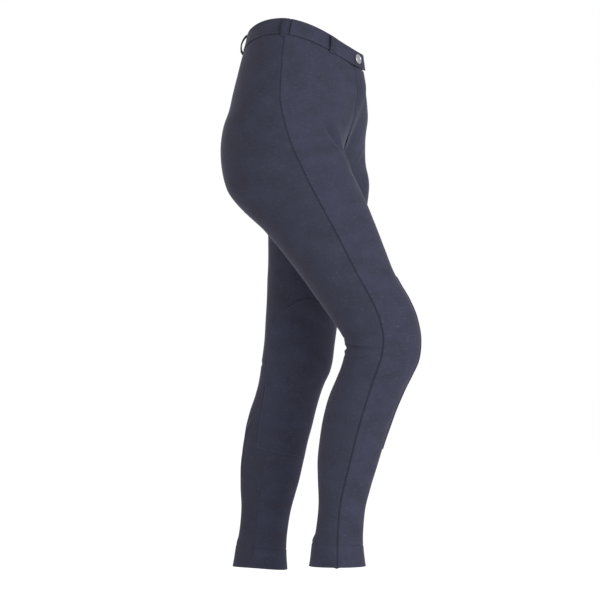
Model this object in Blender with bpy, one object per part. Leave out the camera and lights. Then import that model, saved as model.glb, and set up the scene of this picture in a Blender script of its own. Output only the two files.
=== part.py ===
"""A pair of jodhpurs as worn, with no wearer: one leg steps forward with its knee bent.

The frame is the wearer's: +Z is up, the front faces -Y and the wearer's right is -X. The origin is
the middle of the waist, halfway up the waistband, where the wearer holds the garment. Sizes are in
millimetres and become metres only where a mesh is placed.

Each half of the garment is one tube of rings strung on a line down the middle of the leg. Down to
the crotch a ring crosses the middle plane and is cut there, which gives the crotch seam. Below it
the ring is whole and closes at the inseam. Every piece is a patch of that tube, lifted in or out.
"""

import math
from bisect import bisect_right
from collections import namedtuple
from functools import lru_cache

import bmesh
import bpy
from mathutils import Matrix, Vector

MM = 0.001
RIGHT, LEFT = "right", "left"
AWAY = {RIGHT: -1, LEFT: 1}  # the sign of X on each side

# Cloth and seams
WALL = 1.5  # panel cloth
BAND_WALL = 3.0  # waistband, which is folded double
STRIP_WALL = 1.2  # fly, knee patches, hem turnings and belt loops
SEAM_GAP = 0.3
HALF_GAP = SEAM_GAP / 2

# Sizes down the leg, measured along its own line from the middle of the waistband
BAND_DEPTH = 30
WAIST_SEAM = BAND_DEPTH / 2
WAIST_HALF = 125
CROTCH = 246
HEM_STITCH = 907
HEM = 944
WEB = 14  # half the width of cloth that bridges from leg to leg at the crotch
WAIST_RISE = 23  # how much higher the waist is cut at the sides than in front and behind
WAIST_DIP = 20  # how much it drops in front, mostly near the middle
DIP_POWER = 3
WAIST_FADE = 110  # the drop by which rings lie square to the leg's line again

# One row for each size that the cutter checks. outer is the ring's reach sideways from the middle
# plane, inner and behind where its front half and its back half start, front and back its reach
# from the leg's line, and seam is how far the side seam lies ahead of the ring's outermost point,
# in degrees. round is the ring's superellipse power in front: under 2 is pointed, 2 an ellipse.
Level = namedtuple("Level", "name drop outer inner behind front back seam round")
CUT = (
    Level("waist top", -20, 121, -121, -121, 102, 98, 6, 1.62),
    Level("waist seam", 15, 128, -128, -128, 107, 103, 5, 1.64),
    Level("high hip", 65, 145, -140, -145, 114, 112, 6, 1.72),
    Level("belly", 112, 161, -82, -155, 109, 118, 9, 1.8),
    Level("hip", 165, 170, -42, -95, 99, 127, 17, 1.9),
    Level("seat", 210, 174, -16, -36, 96, 126, 20, 2.0),
    Level("crotch", CROTCH, 173, WEB, WEB, 99, 113, 21, 2.0),
    Level("upper thigh", 300, 170, 16, 16, 95, 87, 21, 2.0),
    Level("middle thigh", 390, 164, 18, 18, 82, 71, 22, 2.0),
    Level("lower thigh", 480, 154, 26, 26, 70, 61, 22, 2.0),
    Level("knee", 565, 147, 33, 33, 73, 54, 19, 2.0),
    Level("under the knee", 615, 143, 36, 36, 61, 53, 18, 2.0),
    Level("calf", 685, 141, 36, 36, 54, 59, 19, 2.0),
    Level("lower calf", 765, 134, 44, 44, 50, 52, 18, 2.0),
    Level("ankle", 860, 127, 48, 48, 41, 37, 12, 2.0),
    Level("hem stitch", HEM_STITCH, 128, 46, 46, 42, 41, 14, 2.0),
    Level("hem", HEM, 132, 43, 43, 47, 47, 14, 2.0),
)
BACK_ROUND = 2.1

# How far the leg's line leans forward, in degrees, for the stepping and the standing leg, and how
# much the standing leg's tube is flattened sideways
Lean = namedtuple("Lean", "name drop right left flat")
POSE = (
    Lean("waist", -20, -3, -3, 0),
    Lean("hip", 120, -3, -3, 0),
    Lean("top of the leg", 225, 20.5, 0.5, 0),
    Lean("thigh", 310, 30, -6, 0),
    Lean("above the knee", 500, 29, -9.5, 0),
    Lean("below the knee", 615, -18.5, -10, 0),
    Lean("calf", 700, -16.5, -13.5, 2),
    Lean("lower calf", 800, -10, -9, 6),
    Lean("hem", 970, 2, -1.5, 2),
)
HIP_LEAN = -3
HIP_RAISE = {RIGHT: 1, LEFT: 24}  # the standing leg's hip rides up and the stepping one drops
HIP_RAISED_BY = 260
WEB_SPREAD = 95  # sideways from the middle plane, where the cloth takes up the leg's own swing
INSEAM_SPREAD = 130  # the same, down the inseam from the crotch
UNDER_SEAT = {RIGHT: -5, LEFT: 22}  # the stepping leg pulls the cloth flat under the seat
UNDER_SEAT_DROP = {RIGHT: 250, LEFT: 260}
UNDER_SEAT_SPAN = {RIGHT: 70, LEFT: 90}


def between(rows, column, at):
    """A column of a table at any drop: a smooth curve through its rows that never overshoots."""
    xs = [row.drop for row in rows]
    ys = [getattr(row, column) for row in rows]
    at = min(max(at, xs[0]), xs[-1])
    i = min(max(sum(x <= at for x in xs) - 1, 0), len(xs) - 2)

    def slope(k):
        if k <= 0 or k >= len(xs) - 1:
            return 0.0 if k <= 0 else (ys[-1] - ys[-2]) / (xs[-1] - xs[-2])
        before = (ys[k] - ys[k - 1]) / (xs[k] - xs[k - 1])
        after = (ys[k + 1] - ys[k]) / (xs[k + 1] - xs[k])
        return 2 * before * after / (before + after) if before * after > 0 else 0.0

    width = xs[i + 1] - xs[i]
    t = (at - xs[i]) / width
    rise = 3 * t**2 - 2 * t**3
    ease = (t - 2 * t**2 + t**3) * slope(i) + (t**3 - t**2) * slope(i + 1)
    return ys[i] + (ys[i + 1] - ys[i]) * rise + width * ease


def smooth(t):
    """0 below 0, 1 above 1, and an even S between them."""
    t = min(max(t, 0.0), 1.0)
    return t * t * (3 - 2 * t)


@lru_cache(maxsize=None)
def leg_line(side):
    """(forward, up) of the leg's line for each whole millimetre of drop, from the waist's top."""
    top = int(POSE[0].drop) - 10
    points = {top: (0.0, 0.0)}
    forward = up = 0.0
    for drop in range(top + 1, int(POSE[-1].drop) + 40):
        lean = math.radians(between(POSE, side, drop - 0.5))
        forward += math.sin(lean)
        up -= math.cos(lean)
        points[drop] = (forward, up)
    at_waist = points[0]
    return {k: (f - at_waist[0], u - at_waist[1]) for k, (f, u) in points.items()}


def line_point(side, drop):
    low = math.floor(drop)
    (f0, u0), (f1, u1) = leg_line(side)[low], leg_line(side)[low + 1]
    t = drop - low
    return f0 + (f1 - f0) * t, u0 + (u1 - u0) * t


def bump(at, middle, span):
    """1 at the middle, easing to 0 a span away on each side."""
    return smooth(1 - abs(at - middle) / span)


@lru_cache(maxsize=None)
def ring_half(side, drop, ahead):
    """centre, half width, reach and power of the ring's front half, or of its back half."""
    outer = between(CUT, "outer", drop)
    inner = between(CUT, "inner" if ahead else "behind", drop)
    flat = between(POSE, "flat", drop) if side == LEFT else 0.0
    reach = between(CUT, "front" if ahead else "back", drop) + flat
    return (
        (outer + inner) / 2,
        (outer - inner) / 2 - flat,
        reach,
        between(CUT, "round", drop) if ahead else BACK_ROUND,
    )


def powered(value, power):
    return math.copysign(abs(value) ** power, value)


def cut_turn(drop, ahead):
    """Where the middle plane cuts the ring, in degrees round it from its inner side; 0 on a leg."""
    centre, half, _, power = ring_half(RIGHT, drop, ahead)
    if drop >= CROTCH:
        return 0.0
    share = min((centre - WEB) / half, 1.0)
    return math.degrees(math.acos(powered(share, power / 2)))


def skin(side, turn, drop):
    """A point of the cloth's outer face, as (across, forward, up). turn goes round the ring from
    its inner side (0) by the front (90) and the side (180) to the back (270)."""
    c, s = math.cos(math.radians(turn)), math.sin(math.radians(turn))
    centre, half, deep, power = ring_half(side, drop, s >= 0)
    sideways = centre - half * powered(c, 2 / power)
    reach = deep * powered(s, 2 / power)
    across = math.sqrt(max(sideways**2 - WEB**2, 0.0))
    free = 1 - (1 - smooth(across / WEB_SPREAD)) * (1 - smooth((drop - CROTCH) / INSEAM_SPREAD))
    if s < 0:
        tuck = UNDER_SEAT[side] * bump(drop, UNDER_SEAT_DROP[side], UNDER_SEAT_SPAN[side])
        reach += tuck * free * powered(s, 2 / power)
    cut_up = WAIST_RISE * (across / WAIST_HALF) ** 2
    cut_up -= WAIST_DIP * (max(reach, 0) / deep) ** DIP_POWER
    rise = cut_up * (1 - smooth(drop / WAIST_FADE))
    hip, leg = math.radians(HIP_LEAN), math.radians(between(POSE, side, drop))
    line_forward, line_up = line_point(side, drop)
    hip_point = (
        drop * math.sin(hip) + reach * math.cos(hip),
        -drop * math.cos(hip) + reach * math.sin(hip),
    )
    leg_point = (line_forward + reach * math.cos(leg), line_up + reach * math.sin(leg))
    forward, up = (h + (l - h) * free for h, l in zip(hip_point, leg_point))
    raised = HIP_RAISE[side] * free * smooth(drop / HIP_RAISED_BY)
    return across, forward, up + rise + raised


def turn_limits(drop):
    """The ring's front cut edge, side seam and back cut edge at a drop, in degrees."""
    return (
        cut_turn(drop, True),
        180 - between(CUT, "seam", drop),
        360 - cut_turn(drop, False),
    )


# The form is laid out as a grid: COLUMNS over each front, the same over each back, and the rows
# of these stretches. Every piece of cloth is read from the grid's own flat cells, with its points
# on the grid's lines where it crosses them, so that pieces that lie together match.
COLUMNS = 9
ROUND = 2 * COLUMNS
# Beside the crotch seam the rows of a closing stretch close up, because the seam flattens out.
Stretch = namedtuple("Stretch", "name start end rows closing")
STRETCHES = (
    Stretch("band's edge", -WAIST_SEAM, -12, 1, False),
    Stretch("band's corner", -12, -6, 1, False),
    Stretch("band", -6, WAIST_SEAM, 1, False),
    Stretch("hip", WAIST_SEAM, 168, 6, False),
    Stretch("crotch curve", 168, CROTCH, 6, True),
    Stretch("top of the leg", CROTCH, 306, 4, False),
    Stretch("thigh", 306, 520, 7, False),
    Stretch("knee", 520, 640, 6, False),
    Stretch("shin", 640, HEM_STITCH, 8, False),
    Stretch("hem", HEM_STITCH, HEM, 1, False),
)
CLOSING_COLUMNS = 3  # how many columns from the seam it takes for the rows to be even again
CLOSING_POWER = 1.6
SMOOTHING = (12, 3)  # columns follow the panels' widths averaged over 3 steps of 12 each way
EDGE_SHARE = 0.4  # the part of a panel, next to its crotch seam, that takes up the difference

# Below, a column under 0 is on the wearer's right of a centre seam, or behind an inseam.
# Lifts are from the skin to the inner and the outer face of a piece.
PANEL_LIFT = (-WALL, 0)
# Waistband
BAND_LIFT = (0.8 - BAND_WALL, 0.8)
BAND_RAISED = 3.3  # how far its right end is lifted where it begins to pass over the left
BAND_RAMP = (-3.0, -1.2)  # the columns where it begins to rise and where it is over the left
BAND_STEPS = (-2.5, -2, -1.5, -1, -0.5, 0)  # its points near the centre front
TAB_END = 11
TAB_CORNER = 8
BAND_UNDER = 1.2  # how many columns the left end runs under the right
# Fly, in columns from the centre front, and its zip
FLY_COLUMNS = (-1.35, -1, -0.72, -0.4, 0, 0.38)
FLY_END = 178
FLY_CURVE = 62  # how much of its length the stitched edge takes to curve in
FLY_ROWS = (18, 28, 46, 54, 66, 80, 104, 124, 131, 137, 149, 155, 160, 165, 172, 175)
ZIP_COLUMNS = (-0.66, -0.2, 0, 0.24)
ZIP_ENDS = (18, 160)
ZIP_LIFT = (SEAM_GAP, SEAM_GAP + 1)
SLIDER_COLUMN = -0.22
SLIDER_WIDE = 8
SLIDER_TAB = 4.5
SLIDER_ROWS = (19, 27, 28.5, 46)  # the body's ends, then the tab's
SLIDER_LIFT = (ZIP_LIFT[1] + SEAM_GAP, ZIP_LIFT[1] + SEAM_GAP + 1)
# Belt loops
LOOP_WIDE = 11
LOOP_WALL = 1.4
LOOP_ENDS = (-14.5, 20)
LOOP_STEPS = 8
LOOP_SEAT = BAND_LIFT[1] + SEAM_GAP
LOOP_FRONT = 4.4  # the column that the front loops lie on
LOOP_BACK = 14.9  # the column of the back ones, which makes the six about evenly spaced
Loop = namedtuple("Loop", "name side column bow")
LOOPS = (
    Loop("belt_loop_back_right", RIGHT, LOOP_BACK, 5.5),
    Loop("belt_loop_back_left", LEFT, LOOP_BACK, 5.5),
    Loop("belt_loop_side_right", RIGHT, COLUMNS, 5.5),
    Loop("belt_loop_side_left", LEFT, COLUMNS, 5.5),
    Loop("belt_loop_front_right", RIGHT, LOOP_FRONT, 5.0),
    Loop("belt_loop_front_left", LEFT, LOOP_FRONT, 5.0),
)
# Knee patches, in columns from the inseam
PATCH_COLUMNS = (-1.8, -1, 0, 1, 2, 3, 4, 4.7)
PATCH_TOP = 456
PATCH_ARCH = (94, 30)  # how far the arch falls behind the knee, and in front of it
PATCH_ROUND = 1.5
PATCH_BOTTOM = 733
PATCH_TAPER = 0.85  # how far the back edge comes forward from the arch to the bottom
PATCH_LIFT = (0.5, 0.5 + STRIP_WALL)
# Hem turnings, inside the legs
TURNING_LIFT = (-WALL - SEAM_GAP - STRIP_WALL, -WALL - SEAM_GAP)
# Button: radius and height of its turned outline
BUTTON_COLUMN = -0.95
BUTTON_OUTLINE = ((7.4, 0), (8.3, 0.4), (8.65, 1.2), (8.2, 2.1), (7.1, 2.4), (6.3, 1.8), (3.2, 2.3))
BUTTON_TOP = 2.5
BUTTON_REST = 0.35  # how many columns either side of its middle the button rests on
BUTTON_SIDES = 24

NAVY = (0.035, 0.040, 0.072)
NAVY_DARK = (0.026, 0.030, 0.056)
STEEL = (0.55, 0.55, 0.56)


def row_drops():
    """The drop of each row, as a pair: away from the crotch seam, and at it."""
    drops = [(STRETCHES[0].start, STRETCHES[0].start)]
    for stretch in STRETCHES:
        for k in range(1, stretch.rows + 1):
            t = k / stretch.rows
            at_seam = 1 - (1 - t) ** CLOSING_POWER if stretch.closing else t
            long = stretch.end - stretch.start
            drops.append((stretch.start + long * t, stretch.start + long * at_seam))
    return drops


ROWS = row_drops()
WAIST_ROW = ROWS.index((WAIST_SEAM, WAIST_SEAM))
HEM_ROW = ROWS.index((HEM_STITCH, HEM_STITCH))


@lru_cache(maxsize=None)
def drops_at(column):
    """The drop of every row at a column of the grid, in straight lines between whole columns."""
    def weight(whole):
        return 1 - smooth(min(whole, ROUND - whole) / CLOSING_COLUMNS)

    left = min(int(column), ROUND - 1)
    share = weight(left) + (weight(left + 1) - weight(left)) * (column - left)
    return [even + (at_seam - even) * share for even, at_seam in ROWS]


def row_at(column, drop):
    """The row, whole or not, that lies at a drop."""
    drops = drops_at(column % ROUND if column < 0 else column)
    return look_up(drops, range(len(drops)), drop)


def rows_between(start, end, more=()):
    """start, end and every even row between them, with any more drops that a curve needs."""
    within = {drop for drop in (*(even for even, _ in ROWS), *more) if start + 1 < drop < end - 1}
    return [start, *sorted(within), end]


def look_up(xs, ys, x):
    """ys at x, in straight lines between the values of xs, which rise."""
    i = min(max(bisect_right(xs, x) - 1, 0), len(xs) - 2)
    return ys[i] + (ys[i + 1] - ys[i]) * (x - xs[i]) / (xs[i + 1] - xs[i])


@lru_cache(maxsize=None)
def ring_lengths(side, drop):
    """The turns round a ring from its front cut edge, and the length of cloth up to each."""
    start, _, end = turn_limits(drop)
    turns = [start + (end - start) * k / 180 for k in range(181)]
    points = [skin(side, turn, drop) for turn in turns]
    lengths = [0.0]
    for before, after in zip(points, points[1:]):
        lengths.append(lengths[-1] + math.dist(before, after))
    return turns, lengths


@lru_cache(maxsize=None)
def panel_widths(side, drop):
    """The widths of the front and of the back at a drop."""
    turns, lengths = ring_lengths(side, drop)
    front = look_up(turns, lengths, turn_limits(drop)[1])
    return front, lengths[-1] - front


@lru_cache(maxsize=None)
def average_widths(side, step):
    """The panels' widths at a whole step of drop, averaged over the steps round it."""
    size, each_way = SMOOTHING
    drops = (size * (step + k) for k in range(-each_way, each_way + 1))
    near = [panel_widths(side, min(max(drop, CUT[0].drop), CUT[-1].drop)) for drop in drops]
    return [sum(widths) / len(near) for widths in zip(*near)]


def column_place(side, column, drop):
    """How far round the cloth a column lies from the front cut edge. Columns share out the
    averaged width from the side seam, and run on smoothly past the turn of the crotch seam."""
    part = 0 if column < COLUMNS else 1
    share = abs(column - COLUMNS) / COLUMNS
    step = math.floor(drop / SMOOTHING[0])
    above, below = average_widths(side, step)[part], average_widths(side, step + 1)[part]
    even = above + (below - above) * (drop / SMOOTHING[0] - step)
    widths = panel_widths(side, drop)
    edge = smooth((share - 1 + EDGE_SHARE) / EDGE_SHARE)
    reach = share * (even + (widths[part] - even) * edge)
    return widths[0] + (reach if part else -reach)


def column_width(side, column, drop):
    return panel_widths(side, drop)[0 if column < COLUMNS else 1] / COLUMNS


@lru_cache(maxsize=None)
def grid_point(side, column, row):
    """A point of the grid on the skin, with the skin's outward direction there."""
    drop = drops_at(column)[row]
    turns, lengths = ring_lengths(side, drop)
    turn = look_up(lengths, turns, column_place(side, column, drop))
    round_it = Vector(skin(side, turn + 2, drop)) - Vector(skin(side, turn - 2, drop))
    down_it = Vector(skin(side, turn, drop + 3)) - Vector(skin(side, turn, drop - 3))
    out = round_it.cross(down_it)
    if column in (0, ROUND) and drop < CROTCH:
        out.x = 0.0
    return Vector(skin(side, turn, drop)), out.normalized()


def cell_point(side, column, row, lift):
    """(across, forward, up) on the grid's flat cells, or that lift away from them."""
    if column < 0:
        column += ROUND
    left, top = min(int(column), ROUND - 1), min(max(int(row), 0), len(ROWS) - 2)
    u, v = column - left, row - top
    place = Vector((0, 0, 0))
    for beside, share_u in ((0, 1 - u), (1, u)):
        for below, share_v in ((0, 1 - v), (1, v)):
            point, out = grid_point(side, left + beside, top + below)
            place += (point + out * lift) * share_u * share_v
    return place


def world(side, place):
    return Vector((AWAY[side] * place.x, -place.y, place.z)) * MM


def at_centre(column, drop, lift):
    """A place in the world beside the centre front: over 0 is to the wearer's left."""
    side = LEFT if column > 0 else RIGHT
    return world(side, cell_point(side, abs(column), row_at(abs(column), drop), lift))


def plain_material(name, colour, roughness, metallic):
    material = bpy.data.materials.new(name)
    material.use_nodes = True
    shader = material.node_tree.nodes["Principled BSDF"]
    shader.inputs["Base Color"].default_value = (*colour, 1)
    shader.inputs["Roughness"].default_value = roughness
    shader.inputs["Metallic"].default_value = metallic
    material.diffuse_color = (*colour, 1)
    return material


def add_object(name, bm, material):
    bmesh.ops.recalc_face_normals(bm, faces=bm.faces[:])
    mesh = bpy.data.meshes.new(name)
    bm.to_mesh(mesh)
    bm.free()
    mesh.shade_smooth()
    mesh.set_sharp_from_angle(angle=math.radians(50))
    mesh.materials.append(material)
    piece = bpy.data.objects.new(name, mesh)
    bpy.context.collection.objects.link(piece)
    return piece


def sheet(name, across, down, place, material, closed=False):
    """A closed wall of cloth on a grid. across and down are the values that place turns into
    points, with 0 for the inner face and 1 for the outer. A closed sheet is a ring."""
    bm = bmesh.new()
    last = (len(across) - 1, len(down) - 1)
    bmesh.ops.create_grid(bm, x_segments=last[0], y_segments=last[1], size=1)
    column_of = bm.verts.layers.int.new("column")
    row_of = bm.verts.layers.int.new("row")
    for vert in bm.verts:
        vert[column_of] = round((vert.co.x + 1) / 2 * last[0])
        vert[row_of] = round((1 - vert.co.y) / 2 * last[1])
        vert.co = place(across[vert[column_of]], down[vert[row_of]], 0)
    if closed:
        bmesh.ops.remove_doubles(bm, verts=bm.verts[:], dist=1e-6)
    outer = bmesh.ops.extrude_face_region(bm, geom=bm.faces[:], use_keep_orig=True)
    for vert in outer["geom"]:
        if isinstance(vert, bmesh.types.BMVert):
            vert.co = place(across[vert[column_of]], down[vert[row_of]], 1)
    return add_object(name, bm, material)


def panel(side, part, material):
    """A front or a back in one piece, from its crotch seam and inseam to its side seam."""
    start, end = (0, COLUMNS) if part == "front" else (COLUMNS, ROUND)

    def place(column, row, face):
        drop = drops_at(column)[row]
        trim = HALF_GAP / column_width(side, (start + end) / 2, drop)
        column = min(max(column, start + trim), end - trim)
        below_seam = row_at(column, WAIST_SEAM + HALF_GAP)
        spot = cell_point(side, column, max(row, below_seam), PANEL_LIFT[face])
        spot.x = max(spot.x, HALF_GAP)
        return world(side, spot)

    rows = range(WAIST_ROW, len(ROWS))
    return sheet(f"{side}_{part}", range(start, end + 1), rows, place, material)


def band_raised(column):
    """How far the band's right end is lifted at a column. It is stiff, so it rises straight."""
    return BAND_RAISED * max((column - BAND_RAMP[0]) / (BAND_RAMP[1] - BAND_RAMP[0]), 0)


def waistband(side, material):
    """Half the waistband. The right half ends in the tab; the left half runs on under it."""
    rows = rows_between(-WAIST_SEAM, WAIST_SEAM)
    if side == RIGHT:
        columns = [*range(-ROUND, -2), *BAND_STEPS, 1]
    else:
        columns = [-BAND_UNDER, *BAND_STEPS[-2:], *range(1, ROUND + 1)]

    def place(column, drop, face):
        whole = ROUND - HALF_GAP / column_width(side, ROUND, drop)
        column = min(max(column, -whole), whole)
        if side == RIGHT and column > 0:
            high = max(TAB_CORNER - (drop + WAIST_SEAM), 0)
            corner = TAB_CORNER - math.sqrt(TAB_CORNER**2 - high**2)
            column = (TAB_END - corner) / column_width(side, 0, drop)
        lift = BAND_LIFT[face] + (band_raised(column) if side == RIGHT else 0)
        return at_centre(column, min(drop, WAIST_SEAM - HALF_GAP), lift)

    return sheet(f"waistband_{side}", columns, rows, place, material)


def fly_over(column, drop):
    """How far the fly's inner face lies over the panels: over the slider, the zip and nothing."""
    over_zip = SLIDER_LIFT[1] + SEAM_GAP
    over_zip += (ZIP_LIFT[1] - SLIDER_LIFT[1]) * smooth((drop - SLIDER_ROWS[-1]) / 20)
    over_zip += -ZIP_LIFT[1] * smooth((drop - ZIP_ENDS[1] - 2) / 12)
    edge, zip_edge = FLY_COLUMNS[0], FLY_COLUMNS[2]
    return SEAM_GAP + (over_zip - SEAM_GAP) * smooth((column - edge) / (zip_edge - edge))


def fly_front(material):
    """The strip that laps over the zip: a straight folded edge, and a stitched one that curves."""
    top = WAIST_SEAM + HALF_GAP
    stitched, lapped = FLY_COLUMNS[0], FLY_COLUMNS[-1]

    def place(column, drop, face):
        curve = min(max((drop - FLY_END + FLY_CURVE) / FLY_CURVE, 0), 0.995)
        edge = stitched + (lapped - stitched) * (1 - math.sqrt(1 - curve**2))
        step = FLY_COLUMNS.index(column)
        column = max(column, edge + 0.02 * step)
        return at_centre(column, drop, fly_over(column, drop) + STRIP_WALL * face)

    return sheet("fly_front", FLY_COLUMNS, rows_between(top, FLY_END, FLY_ROWS), place, material)


def fly_zip(material):
    def place(column, drop, face):
        return at_centre(column, drop, ZIP_LIFT[face])

    return sheet("fly_zip", ZIP_COLUMNS, rows_between(*ZIP_ENDS, FLY_ROWS), place, material)


def zip_slider(material):
    """The slider with its tab, hanging flat."""

    def place(half, drop, face):
        wide = SLIDER_WIDE if drop <= SLIDER_ROWS[1] else SLIDER_TAB
        column = SLIDER_COLUMN + half * wide / column_width(RIGHT, 0, drop)
        return at_centre(column, drop, SLIDER_LIFT[face])

    return sheet("zip_slider", (-0.5, 0.5), SLIDER_ROWS, place, material)


def belt_loop(loop, material):
    """A strip sewn down at both ends, bowed out between them for the belt."""
    start, end = LOOP_ENDS

    def place(half, share, face):
        drop = start + (end - start) * share
        lift = LOOP_SEAT + loop.bow * math.sin(math.pi * share) ** 0.8 + LOOP_WALL * face
        side, column = loop.side, loop.column
        column += half * LOOP_WIDE / column_width(side, column, drop)
        return world(side, cell_point(side, column, row_at(column, drop), lift))

    shares = [k / LOOP_STEPS for k in range(LOOP_STEPS + 1)]
    return sheet(loop.name, (-0.5, 0, 0.5), shares, place, material)


def knee_patch(side, material):
    """A second layer round the inner side of the knee: an arched top and a straight bottom."""
    first, last = PATCH_COLUMNS[0], PATCH_COLUMNS[-1]
    rows = rows_between(PATCH_TOP, PATCH_BOTTOM)

    def place(column, drop, face):
        off = 2 * (column - first) / (last - first) - 1
        arch = 1 - (1 - abs(off) ** PATCH_ROUND) ** (1 / PATCH_ROUND)
        arch = PATCH_TOP + PATCH_ARCH[off > 0] * arch
        drop = max(drop, arch + 0.6 * rows.index(drop))
        shift = PATCH_TAPER * smooth((drop - PATCH_TOP) / (PATCH_BOTTOM - PATCH_TOP))
        column = max(column, first + shift + 0.02 * PATCH_COLUMNS.index(column))
        return world(side, cell_point(side, column, row_at(column, drop), PATCH_LIFT[face]))

    return sheet(f"knee_patch_{side}", PATCH_COLUMNS, rows, place, material)


def hem_turning(side, material):
    """The hem, turned up inside the leg as far as its stitching."""

    def place(column, row, face):
        return world(side, cell_point(side, column, row, TURNING_LIFT[face]))

    rows = range(HEM_ROW, len(ROWS))
    return sheet(f"hem_{side}", range(ROUND + 1), rows, place, material, closed=True)


def waist_button(material):
    """A turned metal button on the tab, square to the cloth under it."""
    def tab(column, drop):
        return at_centre(column, drop, BAND_LIFT[1] + band_raised(column) + SEAM_GAP)

    seat = tab(BUTTON_COLUMN, 0)
    along = tab(BUTTON_COLUMN - BUTTON_REST, 0) - tab(BUTTON_COLUMN + BUTTON_REST, 0)
    out = along.cross(tab(BUTTON_COLUMN, 6) - tab(BUTTON_COLUMN, -6)).normalized()
    bm = bmesh.new()
    foot = bm.verts.new((0, 0, 0))
    outline = [foot, *(bm.verts.new((r * MM, 0, h * MM)) for r, h in BUTTON_OUTLINE)]
    outline.append(bm.verts.new((0, 0, BUTTON_TOP * MM)))
    edges = [bm.edges.new(pair) for pair in zip(outline, outline[1:])]
    bmesh.ops.spin(bm, geom=outline + edges, axis=(0, 0, 1), cent=(0, 0, 0), angle=math.tau,
                   steps=BUTTON_SIDES, use_duplicate=False)
    bmesh.ops.remove_doubles(bm, verts=bm.verts[:], dist=1e-6)
    turn = out.to_track_quat("Z", "Y").to_matrix().to_4x4()
    button = add_object("waist_button", bm, material)
    button.matrix_world = Matrix.Translation(seat) @ turn
    return button


def clear_scene():
    for item in list(bpy.data.objects):
        bpy.data.objects.remove(item, do_unlink=True)


def build():
    clear_scene()
    cloth = plain_material("stretch_cloth", NAVY, 0.9, 0.0)
    trim = plain_material("trim_cloth", NAVY_DARK, 0.9, 0.0)
    metal = plain_material("metal", STEEL, 0.3, 1.0)
    for side in (RIGHT, LEFT):
        panel(side, "front", cloth)
        panel(side, "back", cloth)
        waistband(side, cloth)
        knee_patch(side, trim)
        hem_turning(side, trim)
    fly_front(cloth)
    fly_zip(trim)
    zip_slider(metal)
    for loop in LOOPS:
        belt_loop(loop, trim)
    waist_button(metal)


build()
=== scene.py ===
# %% [markdown]
# # Riding jodhpurs, filled out as they are worn
# This lesson dresses a plain solid model of a pair of jodhpurs. The solids already have the right
# sizes and the right stride, but they are made of a few flat cells. Each piece of cloth is made
# again here as a thin, smooth shell on its solid's own form, with its seams, creases and stitches,
# and each finish is a material built from nodes.
#
# The frame is the wearer's: +Z is up, the front faces -Y and the wearer's right is -X. The origin
# is the middle of the waist, halfway up the waistband.

import math
from collections import namedtuple

import bmesh
import bpy
import numpy as np
from mathutils import Matrix, Vector


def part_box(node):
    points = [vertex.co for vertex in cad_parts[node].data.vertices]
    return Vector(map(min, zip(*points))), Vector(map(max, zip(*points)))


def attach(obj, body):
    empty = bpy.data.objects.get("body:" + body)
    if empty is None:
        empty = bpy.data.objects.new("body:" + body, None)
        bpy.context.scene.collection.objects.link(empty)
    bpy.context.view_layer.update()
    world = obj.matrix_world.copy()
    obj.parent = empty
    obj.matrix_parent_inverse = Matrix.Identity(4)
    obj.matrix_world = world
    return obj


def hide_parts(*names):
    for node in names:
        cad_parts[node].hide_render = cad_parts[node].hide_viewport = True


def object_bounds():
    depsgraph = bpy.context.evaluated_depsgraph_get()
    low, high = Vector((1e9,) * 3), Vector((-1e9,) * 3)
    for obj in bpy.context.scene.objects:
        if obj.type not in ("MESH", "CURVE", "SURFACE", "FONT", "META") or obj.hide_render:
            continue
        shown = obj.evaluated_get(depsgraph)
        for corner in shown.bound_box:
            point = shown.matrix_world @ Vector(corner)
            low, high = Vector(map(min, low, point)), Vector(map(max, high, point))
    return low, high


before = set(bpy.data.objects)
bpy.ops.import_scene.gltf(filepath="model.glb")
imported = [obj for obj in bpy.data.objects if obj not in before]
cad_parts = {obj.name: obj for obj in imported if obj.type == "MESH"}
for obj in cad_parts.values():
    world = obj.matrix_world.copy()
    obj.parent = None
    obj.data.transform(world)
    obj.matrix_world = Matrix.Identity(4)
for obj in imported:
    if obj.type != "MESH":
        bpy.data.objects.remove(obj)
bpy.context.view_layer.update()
MM = 0.001
SIGN = {"right": 1, "left": -1}  # mirrors a side's outward direction
OTHER = {"right": "left", "left": "right"}

# %% [markdown]
# ## Reading a panel's own grid
# A cutter's panel is one flat piece, so its solid is a grid of cells bent to the body, with an
# outer and an inner wall. The file stores it as loose triangles. They could be remeshed, but that
# would lose the grid's rows, which follow the cloth. So the triangles are merged, the wall is cut
# where it folds sharply at its rim, and the outer wall is read row by row, as a knitter counts
# courses: each pair of triangles under a row leads to one point of the next.


# %% The outer wall of a solid
def outer_wall(node, fold):
    """A solid's largest face, cut free wherever the wall folds by more than so many degrees."""
    wall = bmesh.new()
    wall.from_mesh(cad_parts[node].data)
    bmesh.ops.remove_doubles(wall, verts=wall.verts[:], dist=1e-6)
    folds = [edge for edge in wall.edges if edge.calc_face_angle(0) > math.radians(fold)]
    bmesh.ops.split_edges(wall, edges=folds)
    left, islands = set(wall.faces), []
    while left:
        reached = [left.pop()]
        for face in reached:
            near = {other for edge in face.edges for other in edge.link_faces} & left
            left -= near
            reached.extend(near)
        islands.append(reached)
    largest = max(islands, key=lambda island: sum(face.calc_area() for face in island))
    rest = [face for island in islands if island is not largest for face in island]
    bmesh.ops.delete(wall, geom=rest, context="FACES")
    return wall


# %% Walking down a wall, row by row
def third_corner(face, edge):
    return next(corner for corner in face.verts if corner not in edge.verts)


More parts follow.
